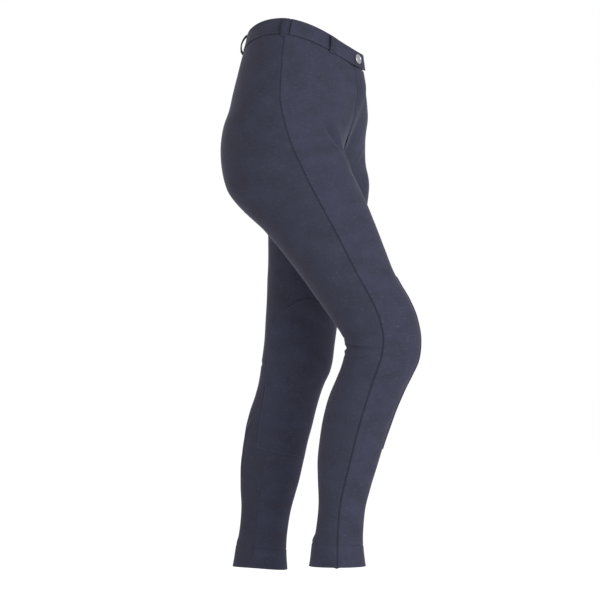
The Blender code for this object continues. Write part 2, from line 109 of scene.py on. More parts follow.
def walk_down(first, below):
    """The rows under a first row, one pair of triangles at a time, or None where they don't fit."""
    rows, used = [first], set()
    while below:
        row = [below]
        for a, b in zip(rows[-1], rows[-1][1:]):
            edge = next((e for e in a.link_edges if e.other_vert(a) is b), None)
            face = next((f for f in edge.link_faces if f not in used), None) if edge else None
            if not face:
                return None
            used.add(face)
            tip = third_corner(face, edge)
            apart = a if tip is row[-1] else b
            shared = next(e for e in face.edges if apart not in e.verts)
            pair = next((f for f in shared.link_faces if f not in used), None)
            if not pair:
                return None
            used.add(pair)
            far = third_corner(pair, shared)
            if apart is b and far is not row[-1]:
                return None
            row.append(far if apart is a else tip)
        beside = [e.other_vert(below) for e in below.link_edges if e.is_boundary]
        below = next((v for v in beside if v not in rows[-1] and v not in row), None)
        rows.append(row)
    return rows


# %% Rows of points from the outer wall
def read_rows(node, across, fold):
    """A solid's outer wall as an array: row, point in the row, and x, y, z in metres."""
    wall = outer_wall(node, fold)
    rim = [edge for edge in wall.edges if edge.is_boundary]
    loop, edge = [rim[0].verts[0]], rim[0]
    while edge.other_vert(loop[-1]) is not loop[0]:
        corner = edge.other_vert(loop[-1])
        loop.append(corner)
        edge = next(e for e in corner.link_edges if e.is_boundary and e is not edge)
    for start in range(len(loop)):
        turned = loop[start:] + loop[:start]
        rows = walk_down(turned[:across], turned[-1])
        if rows and 2 * (len(rows) - 1) * (across - 1) == len(wall.faces):
            points = np.array([[corner.co[:] for corner in row] for row in rows])
            wall.free()
            return points
    raise ValueError(f"{node} has no grid of {across} points across")


def facing(points, axis):
    """The rows turned so that the first lies furthest along an axis: 1 is back, 2 is up."""
    first, last = points[0, :, axis].mean(), points[-1, :, axis].mean()
    return points if first > last else points[::-1]


# %% [markdown]
# ## One table for each half of the garment
# A front and a back lie side by side on the same leg, and a crease or a knee patch runs across
# both. So the two are joined into one table: columns 0 to 9 are the front, from the centre seam to
# the side seam, and 9 to 18 the back, from the side seam to the centre seam again. Rows go by
# their drop, which is the distance from the waist down the leg's own line, in millimetres.

# %% The rows' drops, and the joined tables
WAIST_SEAM, CROTCH, HEM_STITCH, HEM = 15, 246, 907, 944
STRETCHES = (  # from one drop to the next, and in how many rows
    (WAIST_SEAM, 168, 6), (168, CROTCH, 6), (CROTCH, 306, 4), (306, 520, 7), (520, 640, 6),
    (640, HEM_STITCH, 8), (HEM_STITCH, HEM, 1))
ROW_DROPS = [float(WAIST_SEAM)]
for start, end, rows in STRETCHES:
    ROW_DROPS += [start + (end - start) * k / rows for k in range(1, rows + 1)]
ROW_DROPS = np.array(ROW_DROPS)
SIDE_SEAM, AROUND = 9, 18
CROTCH_ROW = int(np.argmin(abs(ROW_DROPS - CROTCH)))
PANEL_FOLD = 64  # degrees: a panel's wall folds by more than this at its rim alone
PARTS = ("front", "back")

half = {}
for side in SIGN:
    walls = [read_rows(f"{side}_{part}", SIDE_SEAM + 1, PANEL_FOLD) for part in PARTS]
    front, back = (facing(wall, 2) for wall in walls)
    if abs(front[0, 0, 0]) > abs(front[0, -1, 0]):
        front = front[:, ::-1]
    if abs(back[0, 0, 0]) < abs(back[0, -1, 0]):
        back = back[:, ::-1]
    seam = (front[:, -1:] + back[:, :1]) / 2
    half[side] = np.concatenate([front[:, :-1], seam, back[:, 1:]], axis=1)
    print(side, "half:", half[side].shape)

# %% [markdown]
# Above the crotch the two halves meet at the centre seams, and below it each leg closes on itself
# at the inseam. A smooth curve needs to know what lies past its end, so each table is given three
# more columns on either side: the other half's where they meet, and its own where the leg closes.

# %% Tables that carry on past their seams
PAD = 3


def join_at_seams(side):
    own, other = half[side].copy(), half[OTHER[side]]
    inseam = (own[CROTCH_ROW:, 0] + own[CROTCH_ROW:, -1]) / 2
    own[CROTCH_ROW:, 0] = own[CROTCH_ROW:, -1] = inseam
    for column in (0, -1):
        own[:CROTCH_ROW, column] = (own[:CROTCH_ROW, column] + other[:CROTCH_ROW, column]) / 2
        own[:CROTCH_ROW + 1, column, 0] = 0
    return own


joined = {side: join_at_seams(side) for side in SIGN}


def pad(side):
    own, other = joined[side], joined[OTHER[side]]
    before, after = own[:, AROUND - PAD:AROUND].copy(), own[:, 1:PAD + 1].copy()
    before[:CROTCH_ROW] = other[:CROTCH_ROW, PAD:0:-1]
    after[:CROTCH_ROW] = other[:CROTCH_ROW, AROUND - 1:AROUND - PAD - 1:-1]
    return np.concatenate([before, own, after], axis=1)


PADDED = {side: pad(side) for side in SIGN}
print("columns with their neighbours:", PADDED["right"].shape[1])

# %% [markdown]
# ## A smooth surface through the grid
# A subdivision surface would also smooth the cells, but it shrinks away from its points, and the
# sizes would change. Here a curve is run through the points instead, as a tailor runs a flexible
# ruler through marks: down the rows with slopes that allow for uneven rows, and across the even
# columns in the same way. The direction that faces outwards is the cross product of the two.


# %% Weights of a smooth curve through uneven marks
def curve_weights(marks, at):
    """For each value of at, how much each mark counts. Beyond the ends the curve runs straight."""
    marks, at = np.asarray(marks, float), np.ravel(at).astype(float)
    gaps, count = np.diff(marks), len(marks)
    slope = np.zeros((count, count))
    slope[0, :2] = slope[-1, -2:] = -1, 1
    slope[0] /= gaps[0]
    slope[-1] /= gaps[-1]
    for k in range(1, count - 1):
        before, after = gaps[k - 1], gaps[k]
        slope[k, k - 1] = -after / (before * (before + after))
        slope[k, k + 1] = before / (after * (before + after))
        slope[k, k] = -slope[k, k - 1] - slope[k, k + 1]
    low = np.clip(np.searchsorted(marks, at, side="right") - 1, 0, count - 2)
    width = gaps[low][:, None]
    t = np.clip((at - marks[low]) / gaps[low], 0, 1)[:, None]
    even = np.eye(count)
    rise = 3 * t**2 - 2 * t**3
    weights = (1 - rise) * even[low] + rise * even[low + 1]
    weights += width * ((t - 2 * t**2 + t**3) * slope[low] + (t**3 - t**2) * slope[low + 1])
    past = (at - np.clip(at, marks[0], marks[-1]))[:, None]
    return weights + past * np.where(past < 0, slope[0], slope[-1])


print("weights of marks 0, 1 and 3 at 0.5:", curve_weights([0, 1, 3], 0.5).round(3).tolist())

# %% Any point of the cloth's face
def skin(side, columns, drops):
    """Points of a half's outer face, in metres, at columns and drops of the same shape."""
    columns, drops = np.broadcast_arrays(np.asarray(columns, float), np.asarray(drops, float))
    lines = np.tensordot(curve_weights(ROW_DROPS, drops), PADDED[side], 1)
    column = columns.ravel() + PAD
    low = np.clip(np.floor(column).astype(int), 1, lines.shape[1] - 3)
    t = (column - low)[:, None]
    pull = np.concatenate([-t + 2 * t**2 - t**3, 2 - 5 * t**2 + 3 * t**3,
                           t + 4 * t**2 - 3 * t**3, t**3 - t**2], axis=1) / 2
    near = lines[np.arange(len(low))[:, None], low[:, None] + np.arange(-1, 3)]
    return (pull[:, :, None] * near).sum(1).reshape(*columns.shape, 3)


def unit(vectors):
    return vectors / np.maximum(np.linalg.norm(vectors, axis=-1, keepdims=True), 1e-12)


def on_leg(side, columns, drops):
    """Points, outward directions, and the width of one column there in millimetres."""
    step, fall = 0.06, 1.0
    across = skin(side, columns + step, drops) - skin(side, columns - step, drops)
    down = skin(side, columns, drops + fall) - skin(side, columns, drops - fall)
    wide = np.linalg.norm(across, axis=-1) / (2 * step) / MM
    return skin(side, columns, drops), SIGN[side] * unit(np.cross(across, down)), wide


_, thigh_out, thigh_wide = on_leg("right", SIDE_SEAM * np.array([0.5, 1.5]), np.full(2, 400.0))
print("thigh faces", thigh_out.round(2).tolist(), "columns are", thigh_wide.round(1), "mm wide")

# %% [markdown]
# ## Where the cloth rolls in, and where it creases
# A seam is two edges sewn together and opened or pressed to one side, so from outside it is a
# narrow groove, with a low ridge where the spare cloth lies under one side. A bump map could draw
# it, but it would vanish at the outline. So the groove and ridge are real relief: each is a small
# function of the distance to the seam, in millimetres.

# %% Seams
SEAM_DEEP, SEAM_ROUND = 1.4, 1.2  # how far the edges roll in, and over what distance
SPARE_HIGH, SPARE_WIDE = 0.8, 7.0  # the spare cloth pressed under one side of a seam
SPARE_FROM, SPARE_RISE, SPARE_FALL = 0.8, 1.6, 3.0  # where it begins, and its two slopes


def ease(t):
    """0 up to 0, 1 from 1 on, and an even S between them."""
    t = np.clip(t, 0, 1)
    return t * t * (3 - 2 * t)


def rolled_in(away):
    return -SEAM_DEEP * np.exp(-((away / SEAM_ROUND) ** 2))


def spare_cloth(away):
    """away is over 0 on the side that the spare cloth is pressed to."""
    rise = ease((away - SPARE_FROM) / SPARE_RISE)
    return SPARE_HIGH * rise * ease((SPARE_WIDE + SPARE_FALL / 2 - away) / SPARE_FALL)


print("relief 0, 2 and 4 mm from a seam:",
      [round(float(rolled_in(away) + spare_cloth(away)), 2) for away in (0, 2, 4)])

# %% [markdown]
# Creases come from how the cloth is worn: it is pinched behind a bent knee, drawn into the groin
# and pulled long down the standing calf. A cloth simulation would find its own creases, but not
# these ones. So each is given as a line of columns and drops on the leg with a depth and
# a width in millimetres. It runs out at both ends and wavers in depth, with a low swell beside it.
# A depth under 0 makes a ridge.

# %% Creases, each with its line, depth and width
Crease = namedtuple("Crease", "line deep wide")
RIGHT_CREASES = [
    # behind the bent knee
    Crease([(13.8, 577), (12.6, 574), (11.6, 571), (10.9, 573)], 2.6, 3.2),
    Crease([(13.5, 577), (12.9, 576), (11.9, 574), (10.6, 574), (9.4, 574)], 2.2, 2.2),
    Crease([(14.6, 590), (13.0, 596), (11.5, 597), (10.2, 590), (8.8, 581), (7.9, 577)], 1.1, 2.2),
    Crease([(13.9, 541), (12.6, 539), (11.4, 544)], 0.9, 2.4),
    Crease([(17.2, 585), (15.8, 578), (14.3, 574)], 2.0, 3.6),
    Crease([(18.0, 604), (16.4, 600), (15.0, 596)], 1.0, 3.0),
    Crease([(17.0, 556), (15.6, 552), (14.4, 553)], 1.1, 3.2),
    # the groin, where the thigh swings forward
    Crease([(5.7, 118), (5.2, 160), (4.95, 190), (4.95, 215), (5.1, 240), (5.4, 265), (5.7, 296)],
           9.0, 9.0),
]
LEFT_CREASES = [
    # the standing leg's calf and knee
    Crease([(17.1, 668), (16.2, 688), (15.4, 712), (15.1, 748), (15.2, 790)], -2.3, 3.2),
    Crease([(16.6, 664), (15.6, 686), (14.8, 712), (14.5, 748)], 1.5, 3.0),
    Crease([(3.6, 668), (4.4, 676), (5.3, 672)], 0.8, 2.6),
    Crease([(3.4, 686), (4.2, 690), (5.0, 684)], 0.7, 2.4),
    Crease([(13.9, 600), (12.4, 594), (11.0, 597)], 0.9, 3.0),
    Crease([(16.4, 588), (15.0, 583), (13.4, 586)], 1.1, 3.4),
    # the groin, where the thigh stands back
    Crease([(4.6, 176), (3.6, 200), (2.4, 222)], 1.6, 7.0),
]
CREASES = {"right": RIGHT_CREASES, "left": LEFT_CREASES}
print("creases:", len(RIGHT_CREASES), "on the right leg and", len(LEFT_CREASES), "on the left")

# %% Relief from the creases
CREASE_STEPS = 24  # points along a crease for each of its marks
CREASE_ENDS = 0.7  # under 1, a crease keeps its depth nearer to its ends
CREASE_WAVER = 0.25  # how unevenly deep it is
WAVER_TURN, WAVER_SHIFT = 7, 1.7  # radians of the waver along a crease, and from one to the next
CREASE_REACH = 4  # widths away, where it has died out
BESIDE_MOST, BESIDE_HIGH = 0.3, 0.8  # the swell beside it: a share of its depth, and millimetres


def crease_relief(side, points):
    """Relief in millimetres at points of the cloth, from every crease on that side."""
    relief = np.zeros(points.shape[:-1])
    for number, crease in enumerate(CREASES[side]):
        marks = np.array(crease.line, float)
        along = np.linspace(0, len(marks) - 1, CREASE_STEPS * len(marks))
        columns, drops = (curve_weights(range(len(marks)), along) @ marks).T
        path = skin(side, columns, drops)
        share = along / along[-1]
        deep = crease.deep * np.sin(np.pi * share) ** CREASE_ENDS
        deep *= 1 + CREASE_WAVER * np.sin(WAVER_TURN * share + WAVER_SHIFT * number)
        reach = CREASE_REACH * crease.wide * MM
        inside = ((points > path.min(0) - reach) & (points < path.max(0) + reach)).all(-1)
        gaps = np.linalg.norm(points[inside][:, None] - path, axis=-1)
        nearest = gaps.argmin(1)
        away = gaps.min(1) / MM / crease.wide
        beside = min(BESIDE_MOST, BESIDE_HIGH / crease.wide)
        trough = np.exp(-(away**2)) - beside * np.exp(-((away - 2) ** 2))
        relief[inside] -= deep[nearest] * trough
    return relief


# %% [markdown]
# Even smooth cloth is never quite even. A few broad, shallow waves in different directions give
# it the slow swells of a knit over a body. They are sines of the place itself, so they run on
# across every seam, and the same each time.

# %% Slow swells
SWELLS = (  # direction, length of the wave in millimetres, height
    ((0.9, 0.3, 0.4), 97, 0.16),
    ((-0.4, 0.8, 0.5), 71, 0.14),
    ((0.2, -0.5, 0.9), 58, 0.12),
    ((0.7, 0.6, -0.6), 43, 0.08),
    ((-0.8, 0.2, 0.7), 31, 0.05),
)
SWELL_SHIFT = 2.1  # radians from one wave to the next, so that they don't begin together


def swells(points):
    relief = np.zeros(points.shape[:-1])
    for number, (direction, length, high) in enumerate(SWELLS):
        phase = points @ unit(np.array(direction)) / (length * MM) * math.tau
        relief += high * np.sin(phase + SWELL_SHIFT * number)
    return relief


print("swells reach at most", round(sum(high for *_, high in SWELLS), 2), "mm")

# %% [markdown]
# The hem has relief of its own. Its stitches lie in a groove, and the cloth below them is double.
# They pull the cloth into small puckers and draw it in at the calf. The edge hangs a little lower
# at the side seam, where four layers lie together, and is slightly arched on the standing leg.

# %% The hem's own relief
HEM_DEEP, HEM_ROUND = 0.8, 1.1  # the groove of its stitches
HEM_DOUBLE = 0.3  # how far the doubled cloth below them stands out
DOUBLE_FROM, DOUBLE_RISE, DOUBLE_END, DOUBLE_FALL = 0.6, 1.6, 26, 24
PUCKER_DEEP, PUCKER_LONG, PUCKER_FADE = 0.32, 15.0, 6.0
PUCKER_UNEVEN, PUCKER_DRIFT = 1.3, 41.0  # how far their spacing wanders, and how slowly
HEM_STANDS_OUT = {"right": 3.2, "left": 1.2}
HEM_STEP_AT, HEM_STEP_WIDE = 14, 2.2  # the column that it is greatest at, and how far it spreads
HEM_STEP_ABOVE, HEM_STEP_RISE = 16, 10
HEM_STEP_GONE, HEM_STEP_FALL = 0.6, 35  # the share of it that is gone by the hem's edge
HEM_TIP, HEM_TIP_WIDE = 1.6, 3.0  # how much lower the edge hangs at the side seam
HEM_ARCH = {"right": 0.0, "left": 1.1}
HEM_HANGS = 22  # how far up from the edge the cloth follows it


def hem_relief(drops, around):
    """The groove of the hem's stitching, and the small puckers above and below it."""
    away = drops - HEM_STITCH
    groove = -HEM_DEEP * np.exp(-((away / HEM_ROUND) ** 2))
    double = ease((away - DOUBLE_FROM) / DOUBLE_RISE) * ease((DOUBLE_END - away) / DOUBLE_FALL)
    groove += HEM_DOUBLE * double
    wander = around / PUCKER_LONG * math.tau + PUCKER_UNEVEN * np.sin(around / PUCKER_DRIFT)
    return groove + PUCKER_DEEP * np.sin(wander) * np.exp(-((away / PUCKER_FADE) ** 2))


def hem_step(side, columns, drops):
    """The hem's stitches pull it in on the calf side, so it stands out just below them."""
    away = drops - HEM_STITCH
    step = ease((away + HEM_STEP_ABOVE) / HEM_STEP_RISE)
    step = step * (1 - HEM_STEP_GONE * ease(away / HEM_STEP_FALL))
    return HEM_STANDS_OUT[side] * step * np.exp(-(((columns - HEM_STEP_AT) / HEM_STEP_WIDE) ** 2))


def hem_shift(side, columns, drops, wide):
    """How far the hem's edge hangs lower: at the side seam's end, and in a slight arch."""
    from_side = (SIDE_SEAM - columns) * wide
    lower = HEM_TIP * np.exp(-((from_side / HEM_TIP_WIDE) ** 2))
    lower -= HEM_ARCH[side] * np.cos(4 * np.pi * columns / AROUND)
    return lower * ease((drops - HEM + HEM_HANGS) / HEM_HANGS)


# %% All the relief together
INSEAM_SHOWS, INSEAM_OVER = 0.2, 40  # the inseam is pressed flatter than the centre seam
HIP_SHOWS, HIP_FROM, HIP_OVER = 0.75, 120, 160  # and so is the side seam over the hip


def relief(side, columns, drops, points, wide, seams=1.0):
    """Everything that stands proud of the plain form or lies under it, in millimetres."""
    from_side = (SIDE_SEAM - columns) * wide
    from_centre = np.where(columns < SIDE_SEAM, columns, columns - AROUND) * wide
    inseam = 1 - (1 - INSEAM_SHOWS) * ease((drops - CROTCH) / INSEAM_OVER)
    hip = HIP_SHOWS + (1 - HIP_SHOWS) * ease((drops - HIP_FROM) / HIP_OVER)
    high = seams * (hip * rolled_in(from_side) + inseam * rolled_in(from_centre))
    high += spare_cloth(from_side) + inseam * spare_cloth(from_centre)
    high += crease_relief(side, points) + swells(points) + hem_step(side, columns, drops)
    return high + hem_relief(drops, columns * wide)


def dressed(side, columns, drops, lift):
    """Points of the finished cloth's face, so many millimetres out, and its outward directions."""
    points, out, wide = on_leg(side, columns, drops)
    high = relief(side, columns, drops, points, wide) + lift
    return points + out * high[..., None] * MM, out


# %% [markdown]
# ## From a table of points to a piece of cloth
# Every piece is a flat grid to begin with, like cloth on the table. Its corners are then moved to
# their places in one go. The grid keeps its own map, a UV map in real metres, so that a knit
# pattern follows the cloth. A Solidify modifier gives a single layer its wall, on the inside.

# %% A flat grid, its map and its lengths
def flat_grid(rows, columns):
    """A mesh grid whose points run row by row, from the top left."""
    bm = bmesh.new()
    bmesh.ops.create_grid(bm, x_segments=columns - 1, y_segments=rows - 1, size=1)
    return bm


def map_in_metres(mesh, name, places):
    """places is one pair for each point of the mesh: across and down the cloth, in metres."""
    corners = np.zeros(len(mesh.loops), int)
    mesh.loops.foreach_get("vertex_index", corners)
    layer = mesh.uv_layers.new(name=name)
    layer.data.foreach_set("uv", places[corners].astype(np.float32).ravel())


def lengths_along(points, axis):
    """The distance along each row, or down each column, from its first point."""
    steps = np.linalg.norm(np.diff(points, axis=axis), axis=-1)
    start = np.zeros_like(np.take(steps, [0], axis=axis))
    return np.concatenate([start, np.cumsum(steps, axis=axis)], axis=axis)


# %% A grid put in its place
def mesh_from(bm, name):
    mesh = bpy.data.meshes.new(name)
    bm.to_mesh(mesh)
    bm.free()
    return mesh


def new_piece(mesh, *materials):
    """Puts a finished mesh in the scene under its own name, smooth and with its materials."""
    mesh.shade_smooth()
    for material in materials:
        mesh.materials.append(material)
    piece = bpy.data.objects.new(mesh.name, mesh)
    bpy.context.scene.collection.objects.link(piece)
    return piece


def placed_grid(name, points, out, places):
    """A grid's mesh with its points in place, facing outwards, with its map."""
    mesh = mesh_from(flat_grid(*points.shape[:2]), name)
    mesh.vertices.foreach_set("co", points.astype(np.float32).ravel())
    map_in_metres(mesh, "cloth", places.reshape(-1, 2))
    mesh.update()
    middle = mesh.polygons[len(mesh.polygons) // 2]
    if middle.normal.dot(Vector(out.reshape(-1, 3)[middle.vertices[0]])) < 0:
        mesh.flip_normals()
    return mesh


# %% A single layer of cloth
def measure(name, points):
    """Prints a grid's greatest width and length, and its area."""
    wide = lengths_along(points, 1)[:, -1].max() / MM
    long = lengths_along(points, 0)[-1].max() / MM
    across, down = np.diff(points, axis=1)[:-1], np.diff(points, axis=0)[:, :-1]
    area = np.linalg.norm(np.cross(across, down), axis=-1).sum() * 1e4
    print(f"{name}: {wide:.0f} x {long:.0f} mm, {area:.1f} square centimetres")


def single_layer(name, points, out, places, wall, materials):
    """A grid with a wall on its inside. The second material is the cloth's wrong side."""
    piece = new_piece(placed_grid(name, points, out, places), *materials)
    thick = piece.modifiers.new("wall", "SOLIDIFY")
    thick.thickness, thick.offset = wall * MM, -1
    thick.material_offset = len(materials) - 1
    measure(name, points)
    return piece


# %% [markdown]
# ## Materials
# Everything that follows needs a material, so these come first. Colours are written as the hex
# codes that a paint program shows. Blender mixes light in linear values, so one function turns the
# codes into those.


# %% Two helpers for every material
def colour(code):
    """A hex colour such as #3a3b4e as the linear values that a node takes."""
    parts = [int(code[k:k + 2], 16) / 255 for k in (1, 3, 5)]
    return (*(v / 12.92 if v <= 0.04045 else ((v + 0.055) / 1.055) ** 2.4 for v in parts), 1)


def add_node(material, kind, settings, inputs):
    """A new node. inputs gives each socket, by name or number, a value or an output to link."""
    node = material.node_tree.nodes.new(kind)
    for name, value in settings.items():
        setattr(node, name, value)
    for socket, value in inputs.items():
        if isinstance(value, bpy.types.NodeSocket):
            material.node_tree.links.new(value, node.inputs[socket])
        else:
            node.inputs[socket].default_value = value
    return node


def new_material(name):
    material = bpy.data.materials.new(name)
    material.use_nodes = True
    material.node_tree.nodes.clear()
    return material


def finish_material(material, shader):
    add_node(material, "ShaderNodeOutputMaterial", {}, {"Surface": shader.outputs[0]})
    material.diffuse_color = shader.inputs["Base Color"].default_value
    return material


# %% [markdown]
# ### Brushed stretch knit
# The cloth is a cotton and elastane jersey with a brushed face. Its yarns take the navy dye
# unevenly, so close to it has paler flecks that lie along the knitted rows, and from further off a
# soft mottling. The brushed fibres stand up and catch light at the edges of the form, which is
# what a sheen layer is for. It reflects very little straight on, so its specular level is low. A
# plain colour with a bump would miss the flecks, which are colour and not shape. The backs take a
# copy of the knit painted a little darker than the fronts', as painted shade on the sides that
# turn away from the light.

# %% Brushed stretch knit, right side, wrong side and trims
FLECK = (8 * MM, 1.3 * MM)  # length along a knitted row and height, about two rows of yarn
MOTTLE = (46 * MM, 30 * MM)
WALE = 1.9 * MM  # twice the real 0.95 mm between columns of stitches, which is too fine to show
FUZZ = 0.9 * MM


def brushed_knit(name, deep, pale, fleck, sheen):
    material = new_material(name)
    cloth = add_node(material, "ShaderNodeUVMap", {"uv_map": "cloth"}, {}).outputs[0]

    def noise(size, detail):
        scaled = add_node(material, "ShaderNodeMapping", {},
                          {"Vector": cloth, "Scale": (1 / size[0], 1 / size[1], 1)})
        return add_node(material, "ShaderNodeTexNoise", {},
                        {"Vector": scaled.outputs[0], "Scale": 1, "Detail": detail}).outputs[0]

    mottling = add_node(material, "ShaderNodeMapRange", {},
                        {"Value": noise(MOTTLE, 5), "From Min": 0.3, "From Max": 0.7})
    body = add_node(material, "ShaderNodeMix", {"data_type": "RGBA"},
                    {0: mottling.outputs[0], 6: colour(deep), 7: colour(pale)})
    flecks = add_node(material, "ShaderNodeMapRange", {},
                      {"Value": noise(FLECK, 3), "From Min": 0.58, "From Max": 0.7, "To Max": 0.4})
    face = add_node(material, "ShaderNodeMix", {"data_type": "RGBA"},
                    {0: flecks.outputs[0], 6: body.outputs[2], 7: colour(fleck)})
    wales = add_node(material, "ShaderNodeTexWave", {"bands_direction": "X"},
                     {"Vector": cloth, "Scale": math.tau / 20 / WALE, "Distortion": 1.2,
                      "Detail": 2, "Detail Scale": 1.5})
    fuzz = noise((FUZZ, FUZZ), 2)
    height = add_node(material, "ShaderNodeMath", {"operation": "MULTIPLY_ADD"},
                      {0: wales.outputs[1], 1: 0.35, 2: fuzz})
    bump = add_node(material, "ShaderNodeBump", {},
                    {"Height": height.outputs[0], "Strength": 0.3, "Distance": 0.3 * MM})
    shader = add_node(material, "ShaderNodeBsdfPrincipled", {}, {
        "Base Color": face.outputs[2], "Normal": bump.outputs[0], "Roughness": 0.85,
        "IOR": 1.5, "Specular IOR Level": 0.2, "Sheen Weight": sheen, "Sheen Roughness": 0.3,
        "Sheen Tint": colour("#c9cbe0")})
    shader.inputs["Base Color"].default_value = colour(pale)
    return finish_material(material, shader)


KNIT = brushed_knit("brushed_knit_of_the_fronts", "#252633", "#2c2d3e", "#454657", 0.14)
# the backs' copy is painted a little darker than the fronts', as painted shade
SHADED_BACKS = brushed_knit("brushed_knit_of_the_backs_painted_darker", "#242531", "#2a2b3a", "#414253", 0.14)
TRIM = brushed_knit("brushed_knit_of_the_trims", "#20212e", "#262736", "#3a3b4a", 0.12)
WRONG_SIDE = brushed_knit("stretch_knit_wrong_side", "#2d2d3d", "#363646", "#444354", 0.08)

# %% [markdown]
# ### Sewing thread
# The seams are sewn with spun polyester thread, dyed to match. It is a little glossier than the
# brushed knit, and its twist gives it fine slanting lines. A stripe along each stitch stands for
# them, drawn on the stitch's own place in space. The knee patches are sewn with a paler one.

# %% Spun polyester thread
TWIST = 0.5 * MM


def spun_thread(name, deep, pale, rough):
    material = new_material(name)
    place = add_node(material, "ShaderNodeTexCoord", {}, {}).outputs["Object"]
    twist = add_node(material, "ShaderNodeTexWave", {"bands_direction": "DIAGONAL"},
                     {"Vector": place, "Scale": math.tau / 20 / TWIST})
    tone = add_node(material, "ShaderNodeMix", {"data_type": "RGBA"},
                    {0: twist.outputs[1], 6: colour(deep), 7: colour(pale)})
    shader = add_node(material, "ShaderNodeBsdfPrincipled", {},
                      {"Base Color": tone.outputs[2], "Roughness": rough, "IOR": 1.57,
                       "Specular IOR Level": 0.3})
    shader.inputs["Base Color"].default_value = colour(pale)
    return finish_material(material, shader)


THREAD = spun_thread("spun_polyester_thread", "#262736", "#414256", 0.5)
PATCH_THREAD = spun_thread("paler_polyester_thread", "#2f3041", "#4c4d62", 0.5)

# %% [markdown]
# ### Satin nickel
# The button is pressed brass with a satin nickel plating. A metal has no colour but that of its
# reflections, so its base colour is nickel's own warm grey. Turning leaves faint rings and use
# leaves a soft haze, which both show in how rough it is rather than in its colour.

# %% Satin nickel plating
SCUFF = 1.6 * MM


def satin_nickel():
    material = new_material("satin_nickel_plating")
    place = add_node(material, "ShaderNodeTexCoord", {}, {}).outputs["Object"]
    haze = add_node(material, "ShaderNodeTexNoise", {},
                    {"Vector": place, "Scale": 1 / SCUFF, "Detail": 4})
    rough = add_node(material, "ShaderNodeMapRange", {},
                     {"Value": haze.outputs[0], "To Min": 0.2, "To Max": 0.42})
    tone = add_node(material, "ShaderNodeMix", {"data_type": "RGBA"},
                    {0: haze.outputs[0], 6: colour("#85858a"), 7: colour("#b4b4b8")})
    bump = add_node(material, "ShaderNodeBump", {},
                    {"Height": haze.outputs[0], "Strength": 0.15, "Distance": 0.1 * MM})
    shader = add_node(material, "ShaderNodeBsdfPrincipled", {},
                      {"Base Color": tone.outputs[2], "Metallic": 1, "Normal": bump.outputs[0],
                       "Roughness": rough.outputs[0]})
    shader.inputs["Base Color"].default_value = colour("#9d9da1")
    return finish_material(material, shader)


NICKEL = satin_nickel()
print("finishes:", [material.name for material in (KNIT, SHADED_BACKS, TRIM, WRONG_SIDE, THREAD, NICKEL)])

# %% [markdown]
# ## The fronts and backs
# Four panels make the garment. Each runs from the waist seam to the hem's folded edge, and from
# the centre seam and inseam to the side seam. Its cells are close together beside the seams, where
# the cloth rolls in within a millimetre or two, and further apart between them. Because a panel is
# three times as wide at the hip as at the ankle, the places of its columns are worked out for each
# row from the panel's real width there.

# %% Where a panel's rows and columns lie
CLOTH_WALL = 1.0
ROLL_UNDER = 1.5  # how far the top edge runs up inside the waistband
UNDER_BAND = np.array([-ROLL_UNDER, 0, 0.5, 1.1, 1.8, 2.8, 4.2, 6.5, 10])  # from the waist seam
BESIDE_SEAM = np.array([0, 0.4, 0.8, 1.3, 2.0, 2.9, 4.2, 6.2, 9.0, 12.0])  # in from either seam
BESIDE_STITCHES = np.array([0, 0.5, 1.0, 1.7, 2.6, 4])
AT_FOLD = np.array([3, 2, 1.2, 0.6, 0.2, 0])  # above the hem's edge
KNEE_TOP, KNEE_FOOT = 530, 615  # the drops between which the knee's creases need closer rows
ROWS_APART, KNEE_ROWS_APART, HEM_ROWS_APART = 3.6, 1.7, 3
MEASURED_AT = 61  # columns at which a row's real length is measured
PANEL_MIDDLE = 46  # columns between the two close bands
NARROW = 60  # a panel narrower than this has its close bands drawn together


def steps_between(start, end, size):
    return np.linspace(start, end, max(int(round((end - start) / size)), 1) + 1)


def panel_rows():
    near = BESIDE_STITCHES[-1]
    return np.unique(np.concatenate([
        WAIST_SEAM + UNDER_BAND,
        steps_between(WAIST_SEAM + UNDER_BAND[-1], KNEE_TOP, ROWS_APART)[1:],
        steps_between(KNEE_TOP, KNEE_FOOT, KNEE_ROWS_APART)[1:],
        steps_between(KNEE_FOOT, HEM_STITCH - near, ROWS_APART)[1:],
        HEM_STITCH - BESIDE_STITCHES,
        HEM_STITCH + BESIDE_STITCHES,
        steps_between(HEM_STITCH + near, HEM - near, HEM_ROWS_APART)[1:],
        HEM - AT_FOLD,
    ]).round(3))


def panel_columns(side, start, end, drops):
    """Columns for each row, close together beside both seams whatever the panel's width."""
    coarse = np.linspace(start, end, MEASURED_AT)
    lines = skin(side, coarse[None, :], drops[:, None])
    length = lengths_along(lines, 1) / MM
    wide = length[:, -1:]
    middle = np.linspace(0, 1, PANEL_MIDDLE + 2)[1:-1]
    near = BESIDE_SEAM[None, :] * np.minimum(1, wide / NARROW)
    far = wide - near[:, ::-1]
    between = near[:, -1:] + (wide - 2 * near[:, -1:]) * middle
    places = np.concatenate([near, between, far], axis=1)
    columns = [np.interp(row, along, coarse) for row, along in zip(places, length)]
    return np.array(columns), places


print("a panel has", len(panel_rows()), "rows of", 2 * len(BESIDE_SEAM) + PANEL_MIDDLE, "points")

# %% The four panels
WAIST_DEEP, WAIST_ROUND = 1.3, 1.5  # how far the waist seam rolls in, and over what distance
FOLD_ROUND = 0.6  # the radius of the hem's folded edge


def edge_lift(drops):
    """In at the waist seam, and rounded under at the hem's folded edge."""
    below = np.maximum(drops - WAIST_SEAM, 0)
    last = np.clip(drops - (HEM - FOLD_ROUND), 0, FOLD_ROUND)
    rounded = FOLD_ROUND - np.sqrt(FOLD_ROUND**2 - last**2)
    return -WAIST_DEEP * np.exp(-((below / WAIST_ROUND) ** 2)) - rounded


